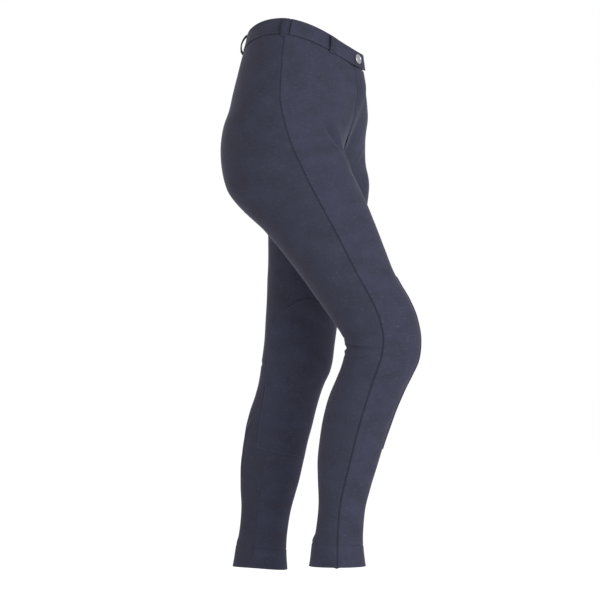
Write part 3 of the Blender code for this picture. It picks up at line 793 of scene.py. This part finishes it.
def panel(side, part):
    start, end = (0, SIDE_SEAM) if part == "front" else (SIDE_SEAM, AROUND)
    drops = panel_rows()
    columns, along = panel_columns(side, start, end, drops)
    down = np.broadcast_to(drops[:, None], columns.shape)
    lower = hem_shift(side, columns, down, along[-1, -1] / abs(end - start))
    points, out = dressed(side, columns, down + lower, edge_lift(down))
    across = along - (along[:, -1:] if part == "front" else 0)
    places = np.stack([across, -down], axis=-1) * MM
    name = f"{side}_{part}_panel"
    # the backs take the knit painted darker, as painted shade
    face = KNIT if part == "front" else SHADED_BACKS
    return single_layer(name, points, out, places, CLOTH_WALL, (face, WRONG_SIDE))


panels = {(side, part): panel(side, part) for side in SIGN for part in PARTS}

# %% [markdown]
# ## Folded strips
# The waistband, belt loops, fly and knee patches are cloth that is folded or turned under at its
# edges, so both faces show and the rim is round. A box with a bevel would give even, sharp ends.
# Here a grid is extruded into two faces, which part from a middle sheet by a half thickness. That
# thickness runs down to nothing at the rim, along a quarter of a circle, and there the two faces
# are merged.

# %% Two faces that meet at a round rim
# how far in from the edge the rim's cells and the next two end, as shares of the half thickness
RIM_STEPS = np.array([0, 0.06, 0.22, 0.5, 1.0, 1.7, 2.8])


def half_thickness(away, half):
    """away is the distance to the nearest edge, in millimetres like half."""
    share = 1 - np.clip(away / half, 0, 1)
    return half * np.sqrt(1 - share**2)


def folded_strip(name, middle, out, high, places, material):
    """middle and out are a grid of places and directions, and high is a half thickness in mm."""
    rows, columns = middle.shape[:2]
    bm = flat_grid(rows, columns)
    number = bm.verts.layers.int.new("number")
    for k, vert in enumerate(bm.verts):
        vert[number] = k
    face_up = bmesh.ops.extrude_face_region(bm, geom=bm.faces[:], use_keep_orig=True)["geom"]
    upper = {item for item in face_up if isinstance(item, bmesh.types.BMVert)}
    over = (middle + out * high[..., None] * MM).reshape(-1, 3)
    under = (middle - out * high[..., None] * MM).reshape(-1, 3)
    for vert in bm.verts:
        vert.co = (over if vert in upper else under)[vert[number]]
    uv = bm.loops.layers.uv.new("cloth")
    flat = places.reshape(-1, 2)
    for face in bm.faces:
        for corner in face.loops:
            corner[uv].uv = flat[corner.vert[number]]
    bmesh.ops.remove_doubles(bm, verts=bm.verts[:], dist=1e-6)
    bmesh.ops.dissolve_degenerate(bm, dist=1e-7, edges=bm.edges[:])
    bmesh.ops.recalc_face_normals(bm, faces=bm.faces[:])
    measure(name, middle)
    return new_piece(mesh_from(bm, name), material)


# %% Places and directions on a strip
def rimmed(length, half, size):
    """Places from 0 to a length, close together at both ends and a size apart between them."""
    near = RIM_STEPS * half
    return np.concatenate([near, steps_between(near[-1], length - near[-1], size)[1:-1],
                           length - near[::-1]])


def grid_out(points, like):
    """Outward directions of a grid of points, turned to agree with one known direction."""
    out = unit(np.cross(np.gradient(points, axis=1), np.gradient(points, axis=0)))
    return out if (out * like).sum() > 0 else -out


def nearest_edge(along, down, length, deep):
    """The distance from each point of a grid to its nearest edge."""
    sideways = np.minimum(along, length - along)
    upright = np.minimum(down, deep - down)
    return np.minimum(*np.broadcast_arrays(sideways[None, :], upright[:, None]))


# %% [markdown]
# ## The waistband
# The waistband is one strip folded double along its top, joined at the centre back, and its right
# end laps over the left as a tab with a rounded corner. Its solid has four points down the band
# and about twenty along it, which a curve through them makes smooth. Like the legs, its back takes
# the copy of the knit painted darker, as painted shade. Its front and back are joined under the
# side loops.

# %% The waistband's sizes, and where its front meets its back
BAND_HALF = 1.3
BAND_MARKS = (0, 3, 9, 30)  # how far down the band its solid's points lie
BAND_CELL = (3.2, 2.2)
BAND_SWELLS = 0.7  # the band is doubled cloth, so it lies evener than the panels
STRIP_FOLD = 48  # degrees: a strip's wall folds by more than this at its rim alone
SEWN_OVER = 4.0  # how far from the centre back the two halves are drawn together
SEWN_PAST = 1.5  # 1 would bring both ends to the middle, and over 1 their round rims overlap
JOIN_AHEAD = 6.0  # from the side loop's middle to where the front and back are joined
JOIN_DEEP, JOIN_ROUND = 2.4, 1.2
JOIN_STEPS = np.array([-2.4, -1.6, -1.0, -0.5, 0, 0.5, 1.0, 1.6, 2.4])
JOIN_CLEAR = 3  # the band's other columns stay this far off
JOIN_TRIED = 400  # places tried along the band to find it


def through_table(table, along_marks, down_marks, along, down):
    """A smooth sheet through a solid's rows of points: rows down, columns along."""
    lines = np.tensordot(curve_weights(along_marks, along), table, 1)
    return np.tensordot(curve_weights(down_marks, down), lines.transpose(1, 0, 2), 1)


def side_join(side, table, marks):
    """How far along the band its front and back are joined, just ahead of the side loop."""
    along = np.linspace(0, marks[-1], JOIN_TRIED)
    foot = through_table(table, marks, BAND_MARKS, along, BAND_MARKS[-1:])[0]
    loop = np.mean(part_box(f"belt_loop_side_{side}"), axis=0)
    return along[np.linalg.norm((foot - loop)[:, :2], axis=-1).argmin()] + JOIN_AHEAD


# %% The two halves of the waistband
def waistband(side):
    table = facing(read_rows(f"waistband_{side}", 4, STRIP_FOLD), 1)
    if table[0, 0, 2] < table[0, -1, 2]:
        table = table[:, ::-1]
    marks = lengths_along(table, 0)[:, 2:].mean(1) / MM
    join = side_join(side, table, marks)
    along = rimmed(marks[-1], BAND_HALF, BAND_CELL[0])
    along = along[abs(along - join) > JOIN_CLEAR]
    along = np.sort(np.concatenate([along, join + JOIN_STEPS]))
    down = rimmed(BAND_MARKS[-1], BAND_HALF, BAND_CELL[1])
    face = through_table(table, marks, BAND_MARKS, along, down)
    # the two halves are sewn together at the centre back, so their ends close its narrow gap
    face[..., 0] -= SEWN_PAST * face[:, :1, 0] * np.exp(-((along / SEWN_OVER) ** 2))
    centre = table.mean((0, 1)) * (1, 0, 0)
    out = grid_out(face, face - face.mean((0, 1)) + centre)
    high = half_thickness(nearest_edge(along, down, marks[-1], BAND_MARKS[-1]), BAND_HALF)
    groove = JOIN_DEEP * np.exp(-(((along - join) / JOIN_ROUND) ** 2))
    lift = swells(face) * BAND_SWELLS - groove - BAND_HALF
    middle = face + out * lift[..., None] * MM
    places = np.stack(np.broadcast_arrays(along[None, :], -down[:, None]), axis=-1) * MM
    # the back half takes the knit painted darker, as painted shade, up to the join
    piece = folded_strip(f"waistband_{side}_strip", middle, out, high, places, SHADED_BACKS)
    piece.data.materials.append(KNIT)
    for cell in piece.data.polygons:
        ahead = np.mean([piece.data.uv_layers["cloth"].uv[k].vector[0] for k in cell.loop_indices])
        cell.material_index = int(ahead > join * MM)
    return piece, (middle + out * BAND_HALF * MM, out, along, down)


bands, band_faces = {}, {}
for side in SIGN:
    bands[side], band_faces[side] = waistband(side)

# %% [markdown]
# ## The belt loops
# Six narrow strips are folded from the same cloth and sewn down at both ends. Each bows out from
# the waistband to leave room for a belt. They are made like the waistband, from the three points
# across and nine along that their solids have.

# %% Six belt loops
LOOP_HALF = 1.15  # a strip folded in three layers of knit
LOOP_NAMES = ("back_right", "back_left", "side_right", "side_left", "front_right", "front_left")
LOOP_CELL = (1.5, 1.3)
LOOP_SUNK, LOOP_SUNK_OVER = 0.25, 3  # each end is pulled down into the cloth by its stitches
BELOW_BAND = 0.9  # how much lower the cloth lies where the loop's lower end is sewn
BAND_STEP_ABOVE, BAND_STEP_OVER = 6, 4.5  # where it steps down, above the loop's lower end


def belt_loop(where):
    table = facing(read_rows(f"belt_loop_{where}", 3, STRIP_FOLD), 2)
    marks = lengths_along(table, 0)[:, 1] / MM
    across_marks = lengths_along(table[:1], 1)[0] / MM
    across = rimmed(across_marks[-1], LOOP_HALF, LOOP_CELL[0])
    along = rimmed(marks[-1], LOOP_HALF, LOOP_CELL[1])
    face = through_table(table, marks, across_marks, along, across).transpose(1, 0, 2)
    out = grid_out(face, face * (1, 1, 0))
    high = half_thickness(nearest_edge(across, along, across_marks[-1], marks[-1]), LOOP_HALF)
    ends = np.minimum(along, marks[-1] - along)
    sunk = LOOP_SUNK * np.exp(-((ends / LOOP_SUNK_OVER) ** 2))
    sunk += BELOW_BAND * ease((along - marks[-1] + BAND_STEP_ABOVE) / BAND_STEP_OVER)
    middle = face - out * (LOOP_HALF + sunk[:, None, None]) * MM
    places = np.stack(np.broadcast_arrays(across[None, :], -along[:, None]), axis=-1) * MM
    piece = folded_strip(f"belt_loop_{where}_strip", middle, out, high, places, TRIM)
    return piece, (face - out * sunk[:, None, None] * MM, out, along)


loops, loop_faces = {}, {}
for where in LOOP_NAMES:
    loops[where], loop_faces[where] = belt_loop(where)

# %% [markdown]
# ## The fly
# The fly is the right front's own edge, folded under and lapped over the zip as far as the left
# front. Its folded edge hangs free, and its other edge is stitched down and curves in to meet it
# at the bottom. Each edge is a column, counted from the centre front: the folded edge keeps its
# own all the way, and the stitched edge's changes with the drop.

# %% The fly's edges, and what lifts it
FLY_HALF = 0.55
FLY_STITCHED, FLY_LAPPED = -1.35, 0.38
FLY_END, FLY_CURVE = 178, 62
FLY_TOP = WAIST_SEAM - 1  # it runs up a little way under the waistband
FLY_ACROSS, FLY_CELL = 38, (1.6, 3.0)
FLY_SHORT = 0.4  # how far above the curve's foot it ends
FLY_TIP = 0.04  # columns that it keeps there, so that its cells don't shrink to nothing
FLY_THIN, FLY_RAMP = 0.25, 5.0  # how thin its stitched edge is, and how far the slope runs
FLY_TUCK, FLY_TUCK_OVER = 1.6, 1.8  # how far its top is pressed in under the band
FLY_CLEAR = 0.2
ZIP_LEFT = -0.72  # the column where it begins to pass over the zip
OVER_SLIDER, OVER_ZIP = 2.6, 1.4  # how far the slider and the zip lift it
SLIDER_END, ZIP_END = 46, 160
ZIP_FOOT = 2  # how far past the zip's end it begins to come down
PAST_SLIDER, PAST_ZIP = 20, 12  # over how far it comes down again past each


def fly_edge(drops):
    """The column of the stitched edge."""
    curve = np.clip((drops - FLY_END + FLY_CURVE) / FLY_CURVE, 0, 1)
    return FLY_STITCHED + (FLY_LAPPED - FLY_STITCHED) * (1 - np.sqrt(1 - curve**2))


def fly_lifted(columns, drops):
    """How far the zip and its slider lift the fly off the fronts."""
    over = OVER_SLIDER + (OVER_ZIP - OVER_SLIDER) * ease((drops - SLIDER_END) / PAST_SLIDER)
    over = over - OVER_ZIP * ease((drops - ZIP_END - ZIP_FOOT) / PAST_ZIP)
    return over * ease((columns - FLY_STITCHED) / (ZIP_LEFT - FLY_STITCHED))


# %% The fly's lapped strip
def fly_strip():
    share = rimmed(FLY_ACROSS, FLY_HALF, FLY_CELL[0]) / FLY_ACROSS
    drops = FLY_TOP + rimmed(FLY_END - FLY_TOP - FLY_SHORT, FLY_HALF, FLY_CELL[1])
    edge = np.minimum(fly_edge(drops), FLY_LAPPED - FLY_TIP)[:, None]
    columns = edge + (FLY_LAPPED - edge) * share
    down = np.broadcast_to(drops[:, None], columns.shape)
    points, out, wide = on_leg("left", columns, down)
    from_edge, from_fold = (columns - edge) * wide, (FLY_LAPPED - columns) * wide
    ends = np.minimum(drops - drops[0], drops[-1] - drops)[:, None]
    high = half_thickness(np.minimum(from_fold, ends), FLY_HALF)
    high = high * (FLY_THIN + (1 - FLY_THIN) * ease(from_edge / FLY_RAMP))
    high = np.minimum(high, half_thickness(from_edge, FLY_HALF))
    tuck = FLY_TUCK * np.exp(-(((down - drops[0]) / FLY_TUCK_OVER) ** 2))
    lift = fly_lifted(columns, down) + high + FLY_CLEAR - tuck + swells(points)
    places = np.stack([(columns - FLY_LAPPED) * wide, -down], axis=-1) * MM
    middle = points + out * lift[..., None] * MM
    piece = folded_strip("fly_front_strip", middle, out, high, places, KNIT)
    return piece, (middle + out * high[..., None] * MM, out)


fly, fly_face = fly_strip()

# %% [markdown]
# ## The zip
# Under the fly runs a coil zip: a woven tape with a nylon coil sewn down its middle. It is closed,
# so it shows only at the fly's edge and from inside the waist. The tape is one more folded strip.
# The coil's turns come further down, with the sewing, as they are rows of short threads too. The
# slider keeps its solid's own shape, in metal.

# %% The zip's tape
ZIP_TAPE = brushed_knit("woven_zip_tape", "#1d1e2a", "#252635", "#303142", 0.05)
TAPE_HALF, TAPE_LIFT = 0.25, 0.55
TAPE_COLUMNS = (-0.66, 0.24)
TAPE_ACROSS, TAPE_CELL = 24, (2.0, 3.6)
ZIP_START = 18


def zip_tape():
    start, end = TAPE_COLUMNS
    share = rimmed(TAPE_ACROSS, TAPE_HALF, TAPE_CELL[0]) / TAPE_ACROSS
    drops = ZIP_START + rimmed(ZIP_END - ZIP_START, TAPE_HALF, TAPE_CELL[1])
    columns, down = np.meshgrid(start + (end - start) * share, drops)
    points, out, wide = on_leg("left", columns, down)
    long = (end - start) * wide.mean()
    away = nearest_edge(share * long, drops - drops[0], long, drops[-1] - drops[0])
    middle = points + out * (TAPE_LIFT + swells(points))[..., None] * MM
    places = np.stack([columns * wide, -down], axis=-1) * MM
    high = half_thickness(away, TAPE_HALF)
    return folded_strip("fly_zip_tape", middle, out, high, places, ZIP_TAPE)


tape = zip_tape()
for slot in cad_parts["zip_slider"].material_slots:
    slot.material = NICKEL

# %% [markdown]
# ## The knee patches
# A second layer is sewn round the inner side of each knee, where the leg grips the saddle. It is
# arched on top and straight below. Its columns run between two edges and its rows between the arch
# and the bottom, so that its cells follow its outline. It rests on the panels, relief and all, and
# bridges the groove of the inseam.

# %% Two knee patches
PATCH_HALF, PATCH_CLEAR = 0.6, 0.1
PATCH_BACK, PATCH_FRONT = -1.8, 4.7  # its edges, in columns from the inseam
PATCH_TOP, PATCH_BOTTOM = 456, 733
PATCH_FALL_BACK, PATCH_FALL_FRONT = 94, 30  # how far the arch falls to each edge
PATCH_ROUND = 1.5  # 1 would be a point and 2 a round arch
PATCH_TAPER = 0.85  # how many columns its back edge comes forward by, lower down
PATCH_SIZE, PATCH_CELL = (156, 262), 3.0  # about how wide and tall it is, to space its cells
BRIDGED = 0.2  # how much of the inseam's groove still shows through


def patch_grid(share, fall):
    """Columns and drops at shares of the way across, from the back, and down, from the arch."""
    off = 2 * share - 1
    arch = 1 - (1 - np.abs(off) ** PATCH_ROUND) ** (1 / PATCH_ROUND)
    top = PATCH_TOP + np.where(off > 0, PATCH_FALL_FRONT, PATCH_FALL_BACK) * arch
    drops = top + (PATCH_BOTTOM - top) * fall
    back = PATCH_BACK + PATCH_TAPER * ease((drops - PATCH_TOP) / (PATCH_BOTTOM - PATCH_TOP))
    return back + (PATCH_FRONT - back) * share, drops


def knee_patch(side):
    share, fall = (rimmed(size, PATCH_HALF, PATCH_CELL) / size for size in PATCH_SIZE)
    columns, drops = patch_grid(*np.meshgrid(share, fall))
    points, out, wide = on_leg(side, columns, drops)
    along, down = lengths_along(points, 1) / MM, lengths_along(points, 0) / MM
    away = np.minimum(np.minimum(along, along[:, -1:] - along), np.minimum(down, down[-1:] - down))
    high = half_thickness(away, PATCH_HALF)
    beyond = np.where(columns < 0, columns + AROUND, columns)
    lift = relief(side, beyond, drops, points, wide, BRIDGED) + PATCH_CLEAR + PATCH_HALF
    places = np.stack([along, -drops], axis=-1) * MM
    middle = points + out * lift[..., None] * MM
    piece = folded_strip(f"knee_patch_{side}_cloth", middle, out, high, places, KNIT)
    return piece, (middle + out * high[..., None] * MM, out)


patches, patch_faces = {}, {}
for side in SIGN:
    patches[side], patch_faces[side] = knee_patch(side)

# %% [markdown]
# ## The hems
# Each leg's end is turned up inside and stitched. The panels end at the fold with a rounded edge,
# and the turning begins there. Its face looks into the leg, so its outward direction is the
# leg's own, turned round. It closes into a ring, so its first and last columns are merged.

# %% Two hem turnings
TURNING_WALL = 0.9
TURNING_IN = 2.05  # from the leg's outer face to the turning's inner one
RAW_EDGE = 2.5  # how far above its stitches the turning ends
TURNING_COLUMNS = 145
TURNING_ROWS_APART = 2.6
IN_FOLD = np.array([2, 1.3, 0.8, 0.4, 0.15, 0])  # above the hem's edge, inside
ABOVE_FOLD = 3  # how far above the hem's edge its even rows end
TURNING_ROUND = 1.0  # the radius that it turns in at the fold
TURNING_SHOWS = 0.6  # how much of the stitches' relief reaches its face


def hem_turning(side):
    above = steps_between(HEM_STITCH - RAW_EDGE, HEM - ABOVE_FOLD, TURNING_ROWS_APART)
    columns, drops = np.meshgrid(np.linspace(0, AROUND, TURNING_COLUMNS),
                                 np.concatenate([above, HEM - IN_FOLD]))
    lower = hem_shift(side, columns, drops, on_leg(side, columns, drops)[2].mean())
    points, out, wide = on_leg(side, columns, drops + lower)
    last = np.clip(drops - HEM + TURNING_ROUND, 0, TURNING_ROUND)
    lift = swells(points) + hem_relief(drops, columns * wide) * TURNING_SHOWS
    lift = lift + hem_step(side, columns, drops)
    lift = lift - TURNING_IN + TURNING_ROUND - np.sqrt(TURNING_ROUND**2 - last**2)
    face = points + out * lift[..., None] * MM
    face[:, -1] = face[:, 0]
    places = np.stack([columns * wide.mean(), -drops], axis=-1) * MM
    finishes = (WRONG_SIDE, KNIT)
    piece = single_layer(f"hem_{side}_turning", face, -out, places, TURNING_WALL, finishes)
    ring = bmesh.new()
    ring.from_mesh(piece.data)
    bmesh.ops.remove_doubles(ring, verts=ring.verts[:], dist=1e-7)
    ring.to_mesh(piece.data)
    ring.free()
    return piece


turnings = {side: hem_turning(side) for side in SIGN}

# %% [markdown]
# ## The waist button
# The button is a turned metal cap with a rolled rim, a sunk ring and a low dome. A turned thing is
# made by spinning its outline round its axis. The axis is found from the solid button: its points
# spread least along it.

# %% Where the button sits
button_points = np.array([vert.co[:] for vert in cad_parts["waist_button"].data.vertices])
button_centre = button_points.mean(0)
button_axis = np.linalg.svd(button_points - button_centre, full_matrices=False)[2][-1]
if button_axis @ (button_centre * (1, 1, 0)) < 0:
    button_axis = -button_axis
button_seat = button_centre + button_axis * ((button_points - button_centre) @ button_axis).min()
print("button axis", button_axis.round(2))

# %% Spin the button
BUTTON_OUTLINE = (  # radius and height in millimetres, from the foot up over the rim to the middle
    (0, 0), (7.4, 0), (8.2, 0.25), (8.6, 0.8), (8.6, 1.4), (8.3, 1.95), (7.8, 2.25), (7.2, 2.3),
    (6.75, 2.1), (6.5, 1.75), (6.2, 1.6), (5.9, 1.75), (5.6, 2.05), (5.2, 2.15), (4.7, 2.0),
    (4.4, 1.8), (3.6, 1.9), (2.4, 2.15), (1.2, 2.3), (0, 2.35))
BUTTON_TURNS = 72


def waist_button():
    bm = bmesh.new()
    outline = [bm.verts.new((radius * MM, 0, high * MM)) for radius, high in BUTTON_OUTLINE]
    lines = [bm.edges.new(pair) for pair in zip(outline, outline[1:])]
    bmesh.ops.spin(bm, geom=outline + lines, axis=(0, 0, 1), cent=(0, 0, 0), angle=math.tau,
                   steps=BUTTON_TURNS, use_merge=True, use_duplicate=False)
    bmesh.ops.remove_doubles(bm, verts=bm.verts[:], dist=1e-6)
    bmesh.ops.recalc_face_normals(bm, faces=bm.faces[:])
    turn = Vector(button_axis).to_track_quat("Z", "Y").to_matrix().to_4x4()
    bmesh.ops.transform(bm, matrix=Matrix.Translation(button_seat) @ turn, verts=bm.verts[:])
    return new_piece(mesh_from(bm, "waist_button_turned"), NICKEL)


button = waist_button()
print("button:", len(button.data.polygons), "faces")

# %% [markdown]
# ## Sewing
# A lockstitch shows as a row of short threads, each dipping into the cloth at its ends. At about
# 8 stitches to the inch they are 3 mm apart. They could be drawn in a material, but they cast real
# shadows and catch light, so each is a small spindle: a coarse sphere, drawn out along the row. All
# those of one row are joined in one mesh.

# %% One thread's spindle
STITCH, GAP, THREAD_THICK = 2.6, 0.5, 0.42


def one_spindle():
    """A coarse sphere 1 across: its corners, and its faces as triples of corners."""
    bm = bmesh.new()
    bmesh.ops.create_uvsphere(bm, u_segments=6, v_segments=4, radius=0.5)
    bmesh.ops.triangulate(bm, faces=bm.faces[:])
    bm.verts.index_update()
    corners = np.array([vert.co[:] for vert in bm.verts])
    faces = np.array([[vert.index for vert in face.verts] for face in bm.faces])
    bm.free()
    return corners, faces


SPINDLE = one_spindle()
print("a thread has", len(SPINDLE[1]), "triangles")


# %% A row of stitches
def spindles(name, path, out, long, apart, thick, material, turned=False):
    """Short threads along a path, in metres. turned lays each across the path, as in a bar tack."""
    length = lengths_along(path, 0) / MM
    count = max(int(round(length[-1] / apart)), 1)
    middles = (np.arange(count) + 0.5) * length[-1] / count

    def at(values, where):
        return np.stack([np.interp(where, length, values[:, k]) for k in range(3)], axis=1)

    half = 0.5 * min(long, apart)
    run = unit(at(path, middles + half) - at(path, middles - half))
    up = at(out, middles)
    up = unit(up - run * (up * run).sum(1)[:, None])
    side = np.cross(up, run)
    flat, pole = (run, -side) if turned else (side, run)
    turns = np.stack([flat * thick, up * thick, pole * long], axis=1) * MM
    corners, faces = SPINDLE
    points = at(path, middles)[:, None] + corners @ turns
    triples = faces + np.arange(count)[:, None, None] * len(corners)
    mesh = bpy.data.meshes.new(name)
    mesh.from_pydata(points.reshape(-1, 3), [], triples.reshape(-1, 3).tolist())
    print(name, count, "stitches")
    return new_piece(mesh, material)


# %% [markdown]
# The waistband is stitched along its lower edge, each knee patch along all its edges and the fly
# down its fixed edge. Those rows follow their piece's own grid of points, a millimetre or two inside
# the edge. Each hem is stitched once all round, through the leg and the cloth turned up in it.

# %% Stitch the band, the hems and the patches
EDGE_STITCH = 1.8  # how far inside an edge a row of stitches runs
EDGE_ROW = 6  # the grid line of a folded strip that runs there
HEM_POINTS = 220  # points along a hem's row of stitches
STITCH_STANDS = 0.12  # how far the hem's stitches stand out of their groove
stitches = {}


def sew(name, path, out, thread=THREAD):
    stitches[name] = spindles(name, path, out, STITCH, STITCH + GAP, THREAD_THICK, thread)


def nearest(places, value):
    return int(abs(np.asarray(places) - value).argmin())


def once_round(values):
    """A grid's values along all four of its edges, a few lines inside them."""
    inner = values[EDGE_ROW:-EDGE_ROW, EDGE_ROW:-EDGE_ROW]
    return np.concatenate([inner[0], inner[:, -1], inner[-1, :0:-1], inner[:0:-1, 0]])


for side in SIGN:
    face, out, along, down = band_faces[side]
    low = nearest(down, down[-1] - EDGE_STITCH)
    sew(f"waistband_{side}_stitches", face[low], out[low])
    around = np.linspace(0, AROUND, HEM_POINTS)
    row = dressed(side, around, np.full(HEM_POINTS, float(HEM_STITCH)), STITCH_STANDS)
    sew(f"hem_{side}_stitches", *row)
    ring = [once_round(values) for values in patch_faces[side]]
    sew(f"knee_patch_{side}_stitches", *ring, PATCH_THREAD)

# %% The fly's stitches
FLY_NARROWEST = 4 * MM  # where the fly is narrower than this, its stitches end
face, out = fly_face
long_enough = np.linalg.norm(face[:, -1] - face[:, 0], axis=1) > FLY_NARROWEST
sew("fly_front_stitches", face[long_enough, EDGE_ROW], out[long_enough, EDGE_ROW])

# %% [markdown]
# Each belt loop is held at both ends by a bar tack. A machine lays a score of short, close threads
# across the strip, which pull it down into the band.

# %% Bar tacks on the belt loops
TACK_LONG, TACK_APART, TACK_THICK = 1.6, 0.6, 0.45
TACK_INSIDE = 2.2  # how far from the loop's end
TACK_SHORT = 2  # grid lines left free at each side of the loop

for where, (face, out, along) in loop_faces.items():
    for end, place in (("top", TACK_INSIDE), ("foot", along[-1] - TACK_INSIDE)):
        row = nearest(along, place)
        name = f"belt_loop_{where}_{end}_tack"
        across = slice(TACK_SHORT, -TACK_SHORT)
        stitches[name] = spindles(name, face[row, across], out[row, across], TACK_LONG, TACK_APART,
                                  TACK_THICK, THREAD, turned=True)

# %% [markdown]
# The zip's coil is a nylon thread wound into close turns, each a short bar across the tape.

# %% The zip's coil
COIL = spun_thread("polyester_zip_coil", "#15161f", "#262736", 0.35)
COIL_COLUMN = sum(TAPE_COLUMNS) / 2
COIL_LIFT = 1.0
COIL_LONG, COIL_APART, COIL_THICK = 3.2, 1.27, 0.62
COIL_INSIDE, COIL_POINTS = 2, 60  # how far inside the tape's ends it runs, and its path's points

coil_drops = np.linspace(ZIP_START + COIL_INSIDE, ZIP_END - COIL_INSIDE, COIL_POINTS)
coil_points, coil_out, _ = on_leg("left", np.full(COIL_POINTS, COIL_COLUMN), coil_drops)
coil_path = coil_points + coil_out * (COIL_LIFT + swells(coil_points))[:, None] * MM
coil = spindles("fly_zip_coil", coil_path, coil_out, COIL_LONG, COIL_APART, COIL_THICK, COIL,
                turned=True)

# %% Tell the frame
def belongs(piece, node):
    """The piece moves with the garment and stands for its solid, which is hidden."""
    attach(piece, "root")
    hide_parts(node)


for (side, part), piece in panels.items():
    belongs(piece, f"{side}_{part}")
for side in SIGN:
    belongs(bands[side], f"waistband_{side}")
    belongs(patches[side], f"knee_patch_{side}")
    belongs(turnings[side], f"hem_{side}")
for where, piece in loops.items():
    belongs(piece, f"belt_loop_{where}")
belongs(fly, "fly_front")
belongs(tape, "fly_zip")
belongs(button, "waist_button")
for piece in (*stitches.values(), coil):
    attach(piece, "root")

# %% [markdown]
# ## The sheets of cloth
# The knit is cut about 8% narrower than it is here, because it stretches over the wearer. Here
# only the number of sheets of cloth is printed.


print("sheets:", len(panels) + len(bands) + len(patches) + len(turnings) + len(loops) + 2)

# %% [markdown]
# ## Stage, light and camera
# The garment is shown against plain white, so a pale floor runs out to a white sky. The sky's own
# light reaches everything evenly. One large soft lamp, ahead of the right hip, adds the shape. The
# seat and the standing leg are left to the sky, and so are a little darker.

# %% Floor and sky
FLOOR_DOWN = 0.12  # below the hems, as far as a wearer's feet would reach
floor_mesh = bmesh.new()
bmesh.ops.create_circle(floor_mesh, cap_ends=True, segments=96, radius=40)
floor_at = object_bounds()[0][2] - FLOOR_DOWN
bmesh.ops.translate(floor_mesh, verts=floor_mesh.verts[:], vec=(0, 0, floor_at))


def floor_paint():
    material = new_material("matt_white_floor_paint")
    place = add_node(material, "ShaderNodeTexCoord", {}, {}).outputs["Object"]
    grain = add_node(material, "ShaderNodeTexNoise", {}, {"Vector": place, "Scale": 9, "Detail": 3})
    tone = add_node(material, "ShaderNodeMix", {"data_type": "RGBA"},
                    {0: grain.outputs[0], 6: colour("#f8f8f8"), 7: colour("#ffffff")})
    shader = add_node(material, "ShaderNodeBsdfPrincipled", {},
                      {"Base Color": tone.outputs[2], "Roughness": 0.9, "Specular IOR Level": 0.1,
                       "Emission Color": (1, 1, 1, 1), "Emission Strength": 0.1})
    return finish_material(material, shader)


floor = new_piece(mesh_from(floor_mesh, "studio_floor"), floor_paint())
print("floor at", round(floor_at, 3))

sky = bpy.data.worlds.new("white_sky")
sky.use_nodes = True
sky.node_tree.nodes["Background"].inputs["Color"].default_value = (1, 1, 1, 1)
sky.node_tree.nodes["Background"].inputs["Strength"].default_value = 1.0
bpy.context.scene.world = sky
bpy.context.scene.view_settings.view_transform = "Standard"

# %% Lamp and camera
MIDDLE = Vector((-0.0045, 0.006, -0.4392))


def put_facing(thing, azimuth, elevation, away):
    """Puts a lamp or camera so far off, facing the garment's middle, at angles in degrees."""
    turn, rise = math.radians(azimuth), math.radians(elevation)
    toward = Vector((math.sin(turn) * math.cos(rise), -math.cos(turn) * math.cos(rise),
                     math.sin(rise)))
    thing.location = MIDDLE + toward * away
    thing.rotation_euler = toward.to_track_quat("Z", "Y").to_euler()
    bpy.context.scene.collection.objects.link(thing)


softbox = bpy.data.lights.new("front_softbox", "AREA")
softbox.shape, softbox.size, softbox.energy = "SQUARE", 1.3, 64
lamp = bpy.data.objects.new("front_softbox", softbox)
lamp.visible_camera = False
put_facing(lamp, -42, 8, 3.0)

lens = bpy.data.cameras.new("camera")
lens.lens, lens.sensor_width = 109.6, 36
camera = bpy.data.objects.new("camera", lens)
put_facing(camera, -72, -4.5, 3.2)
bpy.context.scene.camera = camera
